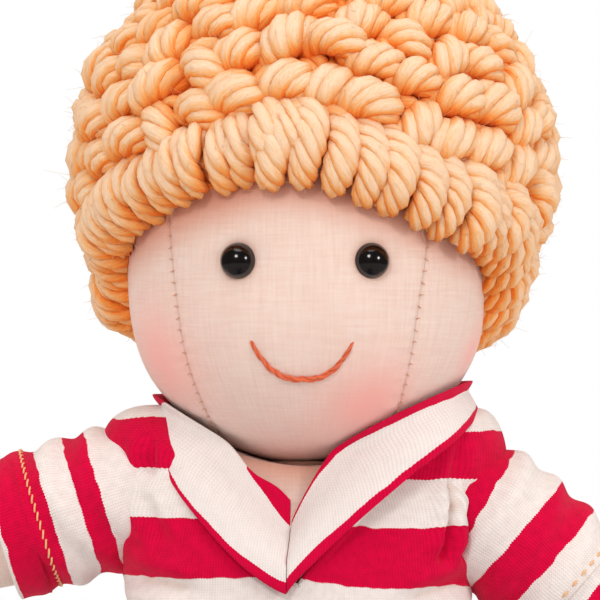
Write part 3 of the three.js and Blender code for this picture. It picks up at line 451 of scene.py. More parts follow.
def head_panel(name, direction, *nodes, behind=False, rounded=False):
    """One panel: its points on the stuffed head, and the weave's places by turn round the head and by height.

    A rounded panel is rings about its middle, closed there and where each ring ends."""
    u = HEAD_RADIUS * np.arctan2(direction[..., 0], (1 if behind else -1) * direction[..., 1])
    v = HEAD_RADIUS * np.arcsin(direction[..., 2])
    points, painted_shade = head_cloth(direction[:, :-1] if rounded else direction)
    panel = grid_piece(name, on_head(points), skin, u, v, closed=rounded, capped="first" if rounded else False,
                       marks={"blush_and_chin_shade": blush_and_chin_shade(points), "painted_shade": painted_shade}, inside=HEAD_CENTRE)
    thicken(panel, HEAD_CLOTH)
    settle(panel, "head", "skin_cotton", *nodes, fill=STUFFED)


def strip_direction(low, high, rows, columns):
    """Directions of a strip between the two seams, from one turn round the seams to another."""
    around = np.linspace(low, high, rows)
    right = cheek_direction(-1, seam_tilt(-1, around), around)[:, None]
    left = cheek_direction(1, seam_tilt(1, around), around)[:, None]
    return unit(right + (left - right) * np.linspace(0, 1, columns)[None, :, None])


head_panel("face_cloth", strip_direction(-math.pi / 2, math.pi / 2, 171, 161), "face_panel", "head_stuffing")
head_panel("back_head_cloth", strip_direction(math.pi / 2, 3 * math.pi / 2, 81, 61), "back_head_panel", behind=True)
around = np.linspace(-math.pi, math.pi, 181)
share = np.linspace(0.01, 1, 61)[:, None]
for side, hand in SIDES:
    head_panel(f"{hand}_cheek_cloth", cheek_direction(side, share * seam_tilt(side, around), around),
               f"{hand}_cheek_panel", rounded=True)

# Sewing thread of the two cheek seams: short ticks of brown cotton that cross the crease, each its own capsule.
# They are tubes along short curved paths, sunk in the crease, and sit on the head's cloth.
TICK_PITCH, TICK_LENGTH, TICK_RADIUS = 2.6, 0.75, 0.11
TICK_SINK, TICK_CURL = 0.2, 0.9
TICK_SLANTS = 0.5, -0.35
TICKS_FROM, TICKS_TO = -0.42 * math.pi, 0.3 * math.pi
TUBE_SHIFT = 40


def round_turn(count):
    """Angles of a full turn in equal steps, without its end."""
    return np.arange(count) * 2 * math.pi / count


def run_along(paths):
    """The length along each path up to each of its steps."""
    length = np.linalg.norm(np.diff(paths, axis=-2), axis=-1).cumsum(-1)
    return np.concatenate([np.zeros_like(length[..., :1]), length], -1)


def path_arrows(paths, sides_of):
    """For each step of each path the arrow ahead, the given arrow made square to it, and the one square to both."""
    ahead = unit(np.gradient(paths, axis=1))
    out = unit(sides_of - (sides_of * ahead).sum(-1, keepdims=True) * ahead)
    return out, np.cross(ahead, out)


def tubes(centres, sides_of, radii, sides):
    """Round tubes along many paths at once, with flat ends.

    centres holds the steps of each path, sides_of an arrow to one side at each step and radii the size there; a
    ring of points stands square to the path at each step. Returns points, faces and places, u round and v along."""
    count, steps = centres.shape[:2]
    out, beside = path_arrows(centres, np.broadcast_to(sides_of, centres.shape))
    turn = round_turn(sides)[:, None]
    ring = np.cos(turn) * out[:, :, None] + np.sin(turn) * beside[:, :, None]
    radii = np.broadcast_to(radii, (count, steps))
    points = centres[:, :, None] + radii[..., None, None] * ring
    number = np.arange(count)[:, None, None]
    shift = number * steps * sides
    wall = (grid_faces(steps, sides, closed=True) + shift).reshape(-1, 4)
    ends = np.stack([np.arange(sides)[::-1], np.arange(sides) + (steps - 1) * sides])
    u = np.arange(sides + 1) / sides * radii[..., None] * 2 * math.pi + TUBE_SHIFT * number
    places = [grid_places(u, run_along(centres)[..., None]), np.zeros((2 * count, sides, 2))]
    return points, [wall, (ends + shift).reshape(-1, sides)], places


def thread_of(name, roughness, fineness, dark, light):
    """A cotton thread whose streaks, finer across it than along it, go between two colours."""
    material, tree, shader = new_material(name, Roughness=roughness, Sheen_Weight=0.2)
    strand = noise(tree, place_node(tree), fineness)
    finish_material(tree, shader, mixed(tree, strand, dark, light), strand, 0.4, 0.05)
    return material


thread = thread_of("brown_thread", 0.7, (6.0, 1.2), "C08260", "DDAA8C")
around = np.linspace(TICKS_FROM, TICKS_TO, 400)
steps = np.linspace(-0.5, 0.5, 7)[:, None]
for side, hand in SIDES:
    seam, _ = head_cloth(cheek_direction(side, seam_tilt(side, around), around))
    length = run_along(seam)
    stops = np.arange(TICK_PITCH, length[-1], TICK_PITCH)
    middle = np.stack([np.interp(stops, length, seam[:, axis]) for axis in range(3)], -1)
    ahead = unit(np.gradient(middle, axis=0))
    slant = np.where(np.arange(len(stops)) % 2 == 0, *TICK_SLANTS)[:, None]
    way = unit(unit(np.cross(middle, ahead)) + slant * ahead)
    centres = middle[:, None] + way[:, None] * steps * TICK_LENGTH
    lift = TICK_CURL * (2 * steps) ** 2 - TICK_SINK
    centres = unit(centres) * (np.linalg.norm(middle, axis=-1)[:, None, None] + lift)
    points, faces, places = tubes(centres, unit(middle)[:, None], TICK_RADIUS, 6)
    settle(make_piece(f"{hand}_seam_thread", on_head(points), faces, thread, places), "head", "mouth_thread")

# Eyes: two round black glass beads, sewn on through their middles and pulled a little into the face.
# Each is a full ball of rings about its own axis.
POLE_GAP = 0.02


def object_place(tree):
    """The place in the doll's own frame, in metres."""
    return shader_node(tree, "TexCoord", {}).outputs["Object"]


def ball(centre, radius, rows, columns):
    """Rings of a ball from just under one end to just over the other, round its own upright axis."""
    down = np.linspace(POLE_GAP, math.pi - POLE_GAP, rows)[:, None]
    turn = round_turn(columns)
    shape = np.broadcast_arrays(np.sin(down) * np.cos(turn), np.sin(down) * np.sin(turn), np.cos(down))
    return centre + radius * np.stack(shape, -1)


bead, tree, shader = new_material("black_bead", Roughness=0.15, IOR=1.6)
finish_material(tree, shader, mixed(tree, noise(tree, object_place(tree), 900.0), "050304", "120A0A"))
for side, hand in SIDES:
    points = on_head(ball(eye_spot(side), EYE_RADIUS, 33, 48))
    eye = grid_piece(f"{hand}_eye_bead", points, bead, np.linspace(0, 1, 49), np.linspace(0, 1, 33)[:, None],
                     closed=True, capped=True, inside=points.mean((0, 1)))
    settle(eye, "head", "eye_bead", f"{hand}_eye")

# Mouth: a smile in backstitch, sewn with orange embroidery floss of three strands.
# Each stitch is a short twisted rope that leaves the cloth at one end and dives in again at the other.
STITCHES, STITCH_LAP, STITCH_CROWD = 8, 0.04, 0.96
STITCH_RISE, STITCH_SINK, STITCH_ROUND = 0.75, 0.55, 0.45
FLOSS_STRANDS, FLOSS_SPREAD, FLOSS_RADIUS, FLOSS_PITCH = 3, 0.32, 0.39, 8
FLOSS_SIDES, FLOSS_PHASE = 8, 1.3
CORNER_SLIM = 0.35


def squared(value, power):
    """A value between -1 and 1 raised to a power with its sign kept, which squares or sharpens a round."""
    return np.sign(value) * np.abs(value) ** power


def twisted(paths, sides_of, strands, spread, pitch, phase):
    """The strands of many ropes: each winds round its rope's path at the spread, one turn in each pitch of length.

    Returns the strands' paths and, for each step, the arrow from the rope's middle to the strand."""
    length = run_along(paths)
    out, beside = path_arrows(paths, sides_of)
    turn = 2 * math.pi * (length[:, None] / pitch + np.arange(strands)[:, None] / strands)
    turn = (turn + np.reshape(phase, (-1, 1, 1)))[..., None]
    arrows = np.cos(turn) * out[:, None] + np.sin(turn) * beside[:, None]
    centres = paths[:, None] + np.broadcast_to(spread, length.shape)[:, None, :, None] * arrows
    return centres.reshape(-1, paths.shape[1], 3), arrows.reshape(-1, paths.shape[1], 3)


# Painted light: each strand is painted darker on its side that faces into the rope and lighter on its outer ridge, a
# painted shade between the strands.
floss, tree, shader = new_material("orange_floss", Roughness=0.5, Sheen_Weight=0.3)
strand = noise(tree, place_node(tree), (4.0, 0.5))
ridge = weighed(tree, -0.35, (mark(tree, "ridge"), 0.75), (strand, 0.8))
finish_material(tree, shader, mixed(tree, ridge, "A8330F", "EC6A34"), strand, 0.5, 0.08)
share = np.linspace(0, 1, 15)
edges = squared(np.linspace(-1, 1, STITCHES + 1), STITCH_CROWD)
along = edges[:-1, None] + np.diff(edges)[:, None] * (share * (1 + 2 * STITCH_LAP) - STITCH_LAP)
path = mouth_point(np.clip(along, -1, 1))
rise = STITCH_RISE * np.sin(math.pi * share) ** STITCH_ROUND - STITCH_SINK
path = unit(path) * (np.linalg.norm(path, axis=-1) + rise)[..., None]
slim = 1 - CORNER_SLIM * np.abs(along) ** 4
strands, arrows = twisted(
    path, unit(path), FLOSS_STRANDS, FLOSS_SPREAD * slim, FLOSS_PITCH, np.arange(STITCHES) * FLOSS_PHASE)
points, faces, places = tubes(strands, arrows, np.repeat(FLOSS_RADIUS * slim, FLOSS_STRANDS, axis=0), FLOSS_SIDES)
# One on a strand's outer side, nought on the side that faces into the rope, where shade is painted.
ridge = (1 + np.cos(round_turn(FLOSS_SIDES))) / 2
smile = make_piece("smile_floss", on_head(points), faces, floss, places, {"ridge": ridge})
settle(smile, "head", "mouth_thread", "mouth_thread")

# Hair: rows of loops of thick, soft peach yarn, sewn side by side into the scalp from the fringe to the crown.
# Each loop is an arch of plied yarn that leaves the wig, bulges and dives in again; a close cap lies under them.
# Fine fibres stand off the yarn; colour goes from a painted pale highlight on the outer crests to a painted orange
# shade in the creases and deep in the wig, by marks kept on the mesh.
WIG_HALF = np.array((55, 50, 54))
WIG_MIDDLE = np.array((1.3, 4, 24))
WIG_LEAST = 9
WIG_LINES, CROWN_CLEAR = 125, 0.06
FRINGE_SETBACK, ROW_SPACING, FILLER_SETBACK = 4, 10, 9
SHORT_YARN = dict(pitch=5.9, length=11.5, hook=0, sink=0, spread=1.9, ply=1.68, plies=4, twist=-19, least=0.75)
LONG_YARN = dict(pitch=7.2, length=15, hook=9, sink=0, spread=2.45, ply=1.88, plies=5, twist=-18, least=0.7)
LOOP_YARN = dict(pitch=11.2, length=11.5, hook=0, sink=0, spread=2.9, ply=2.15, plies=5, twist=-16, least=0.42)
FILLER_YARN = dict(pitch=9, length=12, hook=0, sink=4.2, spread=2.2, ply=1.9, plies=3, twist=-15, least=0.6)
SHORT_LEAN, LONG_LEAN, PARTING_LEAN, LOOP_LEAN, COMBED_LEAN = 1.72, 1.15, 1.5, -0.3, 0.5
FRINGE_STRAY, LOOP_STRAY = 0.07, 0.5
SHORT_UP_TO, LONG_FROM = 0.65, 0.3
# The least painted tone deep in the wig: the fringe is painted paler there than the loops.
FRINGE_PAINTED_TONE, LOOP_PAINTED_TONE = 0.7, 0.1
PARTING = math.radians(-6)
PARTING_NEAR, PARTING_FAR, PARTING_SHIFT = 0.05, 0.55, 0.1
COMBED = PARTING - 0.15, PARTING + 0.3, 1.4, 2.2
LOOP_DIVE, LOOP_SHIFT, PLY_UNEVEN = 10, 0.8, 0.14
LOOP_SQUARE, LOOP_ARCH, LOOP_TAPER, HOOK_FROM = 0.9, 0.85, 0.7, 0.4
SPOT_STRAY, PLY_BEATS = (0.35, 0.65), (0.8, 3)
LOOP_SIZES, DIVE_SHARES, LENGTH_SHARES = (0.88, 1.12), (0.9, 1.1), (0.9, 1.12)
LOOP_STEPS, PLY_SIDES = 18, 7
# Painted tone of the yarn: its share in the creases, and the lift out of the wig and the outward facing over which it
# rises from painted shade to painted highlight.
CREASE_PAINTED_TONE, PAINTED_TONE_LIFT, PAINTED_TONE_FACING = 0.08, (0.25, 1), (-0.3, 0.85)
NODE_SHARES = (0.28, 0.46, 0.64, 0.82)
HAIR_NODES = ("hair_crown", "hair_top_row", "hair_third_row", "hair_second_row", "hair_fringe_row")
CAP_FROM, CAP_TO, CAP_EDGE, CAP_SHARE, CAP_LIFT, CAP_LONG, CAP_PAINTED_TONE = 0.004, 0.92, (0.95, 0.8), 0.45, 0.4, 60, 0.4
FUZZ_COUNT, FUZZ_RADIUS, FUZZ_TIP, FUZZ_PAINTED_TONE = 12000, 0.06, 0.35, 0.85
FUZZ_LEAN, FUZZ_STRAY, FUZZ_CURL, FUZZ_SIZES, FUZZ_LIFT, FUZZ_FACING = 0.6, 0.9, 1.1, (0.5, 1.9), 0.2, -0.1


def hair_direction(polar, around):
    """The direction at an angle down from the crown, turned round the head from the front."""
    polar, around = np.broadcast_arrays(polar, around)
    return np.stack([np.sin(polar) * np.sin(around), -np.sin(polar) * np.cos(around), np.cos(polar)], -1)


def wig_reach(way):
    """How far the wig reaches in a direction: an ellipsoid set above and behind the head, and a least thickness."""
    ray, middle = way / WIG_HALF, WIG_MIDDLE / WIG_HALF
    ahead, size = ray @ middle, (ray * ray).sum(-1)
    far = (ahead + np.sqrt(ahead ** 2 - size * (middle @ middle - 1))) / size
    return np.maximum(far, head_reach(way) + WIG_LEAST)


yarn, tree, shader = new_material(
    "peach_yarn", Roughness=1.0, Specular_IOR_Level=0.0, Sheen_Weight=0.3, Sheen_Roughness=0.7,
    Sheen_Tint=paint("FBC08C"))
place = place_node(tree)
fibres = noise(tree, place, (1.9, 0.2), 6.0)
wool = noise(tree, place, (5.5, 1.4), 3.0)
patches = noise(tree, place, (0.4, 0.1))
painted_light_tone = calc(tree, "ADD", mark(tree, "painted_light_tone"), -0.9)
painted_light_tone = weighed(tree, painted_light_tone, (fibres, 0.9), (patches, 0.4), (wool, 0.5))
# The ramp goes from a painted orange shade to a painted pale highlight.
ramp = shader_node(tree, "ValToRGB", {0: painted_light_tone})
for stop, code in ((0.01, "F4741C"), (0.22, "F58F3A"), (0.46, "F2A862"), (0.72, "F2BF8C"), (0.99, "F2D3B4")):
    ramp.color_ramp.elements.new(stop).color = paint(code)
ramp.color_ramp.elements.remove(ramp.color_ramp.elements[0])
ramp.color_ramp.elements.remove(ramp.color_ramp.elements[-1])
finish_material(tree, shader, ramp.outputs[0], calc(tree, "ADD", fibres, wool), 0.8, 0.4)

scan = np.linspace(-math.pi, math.pi, 1441)
fall = [hairline(scan)]
for _ in range(WIG_LINES):
    fall.append(fall[-1] - 1 / wig_reach(hair_direction(np.maximum(fall[-1], 0), scan)))
rng = np.random.default_rng(41)


def row_spots(setback, pitch):
    """Places of loops a pitch apart along the line that keeps a set distance above the hairline on the wig."""
    polar = fall[setback]
    way = hair_direction(polar, scan)
    steps = np.linalg.norm(np.diff(way * wig_reach(way)[:, None], axis=0), axis=-1)
    clear = polar > CROWN_CLEAR
    length = np.concatenate([[0], np.cumsum(steps * (clear[1:] & clear[:-1]))])
    count = int(length[-1] / pitch)
    stops = (np.arange(count) + rng.uniform(*SPOT_STRAY, count)) * length[-1] / max(count, 1)
    around = np.interp(stops, length, scan)
    return np.stack([np.interp(around, scan, polar), around], -1)


def all_rows(first, pitch):
    """Places of loops on every row of the wig from the first line on."""
    return np.concatenate([row_spots(setback, pitch) for setback in range(first, len(fall), ROW_SPACING)])


def right_of_parting(around):
    """How far a place lies in the hair that is combed to the doll's left."""
    return between(*COMBED, around)


def hair_loops(spots, lean, made):
    """Strands of loops that bulge at their spots and dive into the wig at both ends.

    A loop runs at its lean from the row's line along a squared half circle, hooked to one side at its lower end, and
    its plies wind round that path. Returns the strands' paths, side arrows and radii, and each strand's row."""
    polar, around = spots.T
    count, plies, least = len(polar), made["plies"], made["least"]
    way, down = hair_direction(polar, around), hair_direction(polar + math.pi / 2, around)
    beside = hair_direction(math.pi / 2, around + math.pi / 2)
    run = np.cos(lean)[:, None] * beside + np.sin(lean)[:, None] * down
    across = np.cross(run, way)
    bend = np.linspace(0, math.pi, LOOP_STEPS)
    along = 0.5 - 0.5 * squared(np.cos(bend), LOOP_SQUARE)
    arch = np.sin(bend) ** LOOP_ARCH
    size = rng.uniform(*LOOP_SIZES, count)
    far = wig_reach(way) - (made["spread"] + made["ply"]) * size - made["sink"] + LOOP_SHIFT * rng.normal(size=count)
    dive = LOOP_DIVE * rng.uniform(*DIVE_SHARES, count)
    long = made["length"] * rng.uniform(*LENGTH_SHARES, count)
    path = way[:, None] * (far[:, None] - dive[:, None] * (1 - arch))[..., None]
    path = path + run[:, None] * (long[:, None] * (along - 0.5))[..., None]
    path = path + across[:, None] * (made["hook"] * np.maximum(along - HOOK_FROM, 0) ** 2)[:, None]
    fat = size[:, None] * (least + (1 - least) * np.sin(bend) ** LOOP_TAPER)
    phase = rng.uniform(0, 2 * math.pi, count)
    strands, arrows = twisted(path, across[:, None], plies, made["spread"] * fat, made["twist"], phase)
    thick = np.repeat(made["ply"] * fat, plies, axis=0)
    beat, start = rng.uniform(*PLY_BEATS, (len(thick), 1)), rng.uniform(0, 2 * math.pi, (len(thick), 1))
    row = np.digitize(polar / hairline(around), NODE_SHARES)
    return strands, arrows, thick * (1 + PLY_UNEVEN * np.sin(2 * bend * beat + start)), np.repeat(row, plies)


def joined(parts):
    """Several sets of points, faces, places and marks as one."""
    shift = np.cumsum([0] + [len(part[0]) for part in parts])
    faces = [group + shift[i] for i, part in enumerate(parts) for group in part[1]]
    places = [group for part in parts for group in part[2]]
    return np.concatenate([part[0] for part in parts]), faces, places, np.concatenate([part[3] for part in parts])


layers = []
for made, lean in ((SHORT_YARN, SHORT_LEAN), (LONG_YARN, LONG_LEAN)):
    spots = row_spots(FRINGE_SETBACK, made["pitch"])
    combed = right_of_parting(spots[:, 1])
    spots = spots[combed > LONG_FROM if made is LONG_YARN else combed < SHORT_UP_TO]
    from_parting = np.abs(spots[:, 1] - PARTING - PARTING_SHIFT)
    lean = lean + (PARTING_LEAN - lean) * smooth_step(PARTING_FAR, PARTING_NEAR, from_parting)
    lean = lean + FRINGE_STRAY * rng.normal(size=len(spots))
    layers.append((*hair_loops(spots, lean, made), FRINGE_PAINTED_TONE))
spots = all_rows(FRINGE_SETBACK + ROW_SPACING, LOOP_YARN["pitch"])
lean = LOOP_LEAN + COMBED_LEAN * right_of_parting(spots[:, 1]) + LOOP_STRAY * rng.normal(size=len(spots))
layers.append((*hair_loops(spots, lean, LOOP_YARN), LOOP_PAINTED_TONE))
spots = all_rows(FILLER_SETBACK, FILLER_YARN["pitch"])
layers.append((*hair_loops(spots, rng.uniform(0, math.pi, len(spots)), FILLER_YARN), LOOP_PAINTED_TONE))
yarn_skin = []
for row, node in enumerate(HAIR_NODES):
    parts = []
    for strands, arrows, thick, rows, least_painted_tone in layers:
        here = rows == row
        if here.any():
            points, faces, places = tubes(strands[here], arrows[here], thick[here], PLY_SIDES)
            high = np.linalg.norm(points, axis=-1)
            lift = 1 - (wig_reach(points / high[..., None]) - high) / LOOP_DIVE
            outside = unit(points - strands[here][:, :, None])
            facing = (outside * points).sum(-1) / high
            # Painted light: darker deeper in the wig and on the sides of the plies that face inward, paler on the
            # outer crests.
            painted_light_tone = least_painted_tone + (1 - least_painted_tone) * smooth_step(*PAINTED_TONE_LIFT, lift)
            painted_light_tone = painted_light_tone * (CREASE_PAINTED_TONE + (1 - CREASE_PAINTED_TONE) * smooth_step(*PAINTED_TONE_FACING, facing))
            shown = (lift > FUZZ_LIFT) & (facing > FUZZ_FACING)
            yarn_skin.append((points[shown], outside[shown]))
            parts.append((points.reshape(-1, 3), faces, places, painted_light_tone.ravel()))
    points, faces, places, painted_light_tone = joined(parts)
    loops_of_row = make_piece(node + "_yarn", on_head(points), faces, yarn, places, {"painted_light_tone": painted_light_tone})
    settle(loops_of_row, "head", "hair_yarn", node)

share = np.linspace(CAP_FROM, CAP_TO, 60)[:, None]
turn = np.linspace(-math.pi, math.pi, 145)
way = hair_direction(share * hairline(turn[:-1]), turn[:-1])
under = CAP_SHARE * smooth_step(*CAP_EDGE, share)
points = way * (head_reach(way) + under * (wig_reach(way) - head_reach(way)) + CAP_LIFT)[..., None]
# The cap is painted in a mid tone between the painted shade and the painted highlight.
cap = grid_piece("wig_cap", on_head(points), yarn, HEAD_RADIUS * turn, CAP_LONG * share, closed=True,
                 marks={"painted_light_tone": CAP_PAINTED_TONE}, inside=HEAD_CENTRE)
settle(cap, "head", "hair_yarn")

roots, normals = (np.concatenate(part) for part in zip(*yarn_skin))
chosen = rng.choice(len(roots), FUZZ_COUNT, replace=False)
roots, normals = roots[chosen], normals[chosen]
lean = unit(FUZZ_LEAN * normals + FUZZ_STRAY * rng.normal(size=(FUZZ_COUNT, 3)))
curl = FUZZ_CURL * rng.normal(size=(FUZZ_COUNT, 3))
size = rng.uniform(*FUZZ_SIZES, FUZZ_COUNT)[:, None, None]
share = np.linspace(0, 1, 3)[:, None]
centres = roots[:, None] + size * (share * lean[:, None] + share ** 2 * curl[:, None])
points, faces, places = tubes(centres, np.cross(lean, curl)[:, None], FUZZ_RADIUS * np.linspace(1, FUZZ_TIP, 3), 3)
# The fibres are painted pale, near the painted highlight.
fuzz = make_piece("hair_fuzz", on_head(points), faces, yarn, places, {"painted_light_tone": FUZZ_PAINTED_TONE})
settle(fuzz, "head", "hair_yarn")

# Neck: a short stuffed roll of the same peach cotton between the shoulders and the head.
# It is turned round its own axis, a little slimmer at its middle, and its top is cut off under the chin.
NECK_RADIUS, NECK_WAIST = 9, 0.6
NECK_FOOT, NECK_TOP = 90, 106
NECK_AT = joint_at["neck_turn"]
CHIN_CLEAR = 42.2
height = np.linspace(NECK_FOOT, NECK_TOP, 25)[:, None]
turn = round_turn(72)
wide = NECK_RADIUS - NECK_WAIST * np.sin(math.pi * (height - NECK_FOOT) / (NECK_TOP - NECK_FOOT))
top = HEAD_CENTRE[2] - math.sqrt(CHIN_CLEAR ** 2 - NECK_RADIUS ** 2)
points = np.broadcast_arrays(
    NECK_AT[0] + wide * np.cos(turn), NECK_AT[1] + wide * np.sin(turn), np.minimum(height, top))
points = np.stack(points, -1)
# Painted shade: the whole neck carries the warm shade painted under the chin.
neck = grid_piece("neck_cloth", points, skin, np.linspace(0, 2 * math.pi * NECK_RADIUS, 73), height, closed=True,
                  capped=True, marks={"painted_shade": CHIN_SHADE}, inside=points.mean((0, 1)))
settle(neck, "neck", "skin_cotton", "neck", fill=STUFFED)

# Torso: a stuffed cotton body of a front and a back panel, seen only inside the neck of the jersey.
# Its rings are rounded oblongs whose widths and depths run smoothly from the seat to the shoulders.
# Each ring of the body: height, half width and half depth.
TORSO_RINGS = np.array((
    (1.6, 26, 19), (4.6, 31.5, 22.5), (22, 35, 25), (37, 35, 25.5), (52, 34, 24.5), (76, 35.2, 22), (92, 36.5, 17),
    (98, 33.5, 14), (101.5, 29.5, 11), (103, 23.5, 7.5)))
TORSO_FOOT, TORSO_TOP = 1.6, 103
TORSO_SQUARENESS = 2.3
TORSO_BLUR = np.linspace(-3, 3, 5)
TORSO_WIDE = 34
TORSO_SHADE_REACH = 8
shoulder_at = {side: joint_at[f"{hand}_arm_raise"] for side, hand in SIDES}
TORSO_CENTRE = np.array((0, shoulder_at[1][1], 60))


def torso_reach(height, around, offset):
    """How far the body reaches at a height and a turn from the front: a rounded oblong whose half width and half
    depth come from the rings, averaged over a few millimetres of height, and are grown by the offset."""
    wide, deep = (averaged(height, TORSO_RINGS, column, TORSO_BLUR) + offset for column in (1, 2))
    power = TORSO_SQUARENESS
    return (np.abs(np.sin(around) / wide) ** power + np.abs(np.cos(around) / deep) ** power) ** (-1 / power)


def on_torso(reach, around, height):
    """Points round the body's upright axis."""
    reach, around, height = np.broadcast_arrays(reach, around, height)
    return np.stack([reach * np.sin(around), -reach * np.cos(around), height], -1) + (0, TORSO_CENTRE[1], 0)


height = np.concatenate([[TORSO_FOOT] * 2, np.linspace(TORSO_FOOT + 0.1, TORSO_TOP - 0.1, 70), [TORSO_TOP] * 2])
close = np.concatenate([[0.02, 0.6], np.ones(70), [0.6, 0.02]])
height, close = height[:, None], close[:, None]
for panel, low, stuffing in (("torso_front", -math.pi / 2, ["torso_stuffing"]), ("torso_back", math.pi / 2, [])):
    around = np.linspace(low, low + math.pi, 61)
    points = on_torso(close * torso_reach(height, around, 0), around, height)
    under_chin = HEAD_CENTRE[2] - np.sqrt(np.maximum(CHIN_CLEAR ** 2 - (points[..., 0] - HEAD_CENTRE[0]) ** 2, 0))
    points[..., 2] = np.minimum(points[..., 2], under_chin)
    # Painted shade: the body's top is painted a warm brown within a few millimetres under the chin.
    shade = CHIN_SHADE * smooth_step(TORSO_SHADE_REACH, 0, under_chin - points[..., 2])
    body = grid_piece(panel + "_cloth", points, skin, TORSO_WIDE * around, height, marks={"painted_shade": shade},
                      inside=TORSO_CENTRE)
    thicken(body, HEAD_CLOTH)
    settle(body, "torso", "skin_cotton", panel, *stuffing, fill=STUFFED)

# Jersey: a knitted shirt in bands of crimson and cream, a front and a back panel sewn at sides and shoulders.
# Each panel follows the body from the hem, swells over the shoulders and turns in under the collar.
# Folds pull from the armholes and lie over the belly, with a warm shade painted into the cream in their hollows; the
# bands follow the cloth, not the folds.
JERSEY_EASE, JERSEY_CLOTH, JERSEY_WIDE = 3.5, 0.9, 38
JERSEY_HEM, HEM_WAVE, HEM_WAVES, HEM_WAVE_FADE = 40, 0.72, 5, (60, 40)
HEAD_ROOM = 2.9
SHOULDER_TURN, SHOULDER_LEAST, LEFT_SHOULDER_DROP = 97, 3, 3.5
CORNER_OUT, CORNER_UP, NECK_IN, NECK_OVER = 0.2, 0.55, 0.9, 0.12
SHOULDER_SWELL, SWELL_FROM, SWELL_TO = 6, 66, 98
ARMHOLE = 13
NECK_TUCK, RIGHT_TUCK, RIGHT_CUT, LEFT_CUT = 0.85, 0.5, (-0.8, -1.45, -1.8, -2.6), (0.5, 1.4, 2, 3)
UNDER_COLLAR, SIDE_RISE, SIDE_RISE_RANGE = -1.5, 1.8, (0.6, 1.2)
WALE, COURSE = 0.68, 0.56
BAND_EDGES = (38.3, 49.7, 62.4, 73.3, 86, 97, 107.8)
BAND_MARGIN, BAND_CLIMB, BAND_CLIMB_RANGE, JAG_MIDDLE = 20, 2.6, (-5, 25), 1.1
BAND_STRAY, BAND_STRAY_LENGTH, JERSEY_LUMP, JERSEY_LUMP_LENGTH, JERSEY_LUMP_RANGE = 0.4, 40, 0.5, 30, (2, 12)
FOLD_RIDGE, FOLD_RIDGE_AT, FOLD_FADE = 0.55, 2.2, (-0.15, 0.25, 0.75, 1.15)
FOLD_SHADE, FOLD_SHADE_RANGE = 0.7, (0.9, 2.6)
# Each fold, seen from the front: from across and up, to across and up, half width and depth.
JERSEY_FOLDS = (
    (31.6, 77.5, 33.6, 94, 1.15, 4.2), (35.6, 78, 37.4, 95, 1.0, 2.6), (36, 103, 33.5, 84, 1.3, 1.2),
    (-33, 104, -33.2, 95.5, 1.4, 1.8), (-38, 74, -22, 70.5, 1.8, 1.6), (24, 68, 38, 73, 1.8, 1.5),
    (-36, 93, -29, 80, 1.6, 0.9), (-30, 60, 30, 57, 3, 1.2), (-34, 49, 12, 46.5, 2.6, 0.9))
COLLAR_FRONT_TOP, COLLAR_SIDE_TOP, COLLAR_BACK_TOP, COLLAR_TILT = 85, 115, 112, 1.5
COLLAR_FRONT_WIDTH, COLLAR_SIDE_WIDTH, COLLAR_BACK_WIDTH, COLLAR_BULGE = 15, 7.5, 9, 15.6
COLLAR_SIDE_REACH, COLLAR_SHIFT, COLLAR_FLARE = 31, 4, 3.5
COLLAR_SWEEP, COLLAR_SWEEP_SKEW, COLLAR_SKEW = 1, -0.15, -0.09
COLLAR_GAP, COLLAR_LIFT, COLLAR_RING, COLLAR_WAIST = 2.3, 1.7, 92.0, 0.25

knit, knit_place, knit_out = new_group("fine_knit", ("Height", "Jag"))
wales = axes_of(knit, knit_place)
column = calc(knit, "FRACT", calc(knit, "MULTIPLY", wales[0], 1 / WALE))
slope = calc(knit, "ABSOLUTE", calc(knit, "SUBTRACT", column, 0.5))
stitch = calc(knit, "ADD", calc(knit, "MULTIPLY", wales[1], 1 / COURSE), calc(knit, "MULTIPLY", slope, 1.1))
loops, rib = wave(knit, stitch, 1), wave(knit, column, 2)
knit.links.new(weighed(knit, 0.0, (loops, 0.5), (rib, 1.2)), knit_out.inputs["Height"])
uneven = noise(knit, knit_place, 0.16)
knit.links.new(weighed(knit, 0.0, (slope, 0.45), (uneven, 1.8)), knit_out.inputs["Jag"])


def new_knit(name):
    """An empty knit: its material, tree, shader, place on the cloth and stitches."""
    material, tree, shader = new_material(
        name, Roughness=0.9, Specular_IOR_Level=0.08, Sheen_Weight=0.06, Sheen_Roughness=0.5)
    place = place_node(tree)
    return material, tree, shader, place, use_group(tree, knit, place)


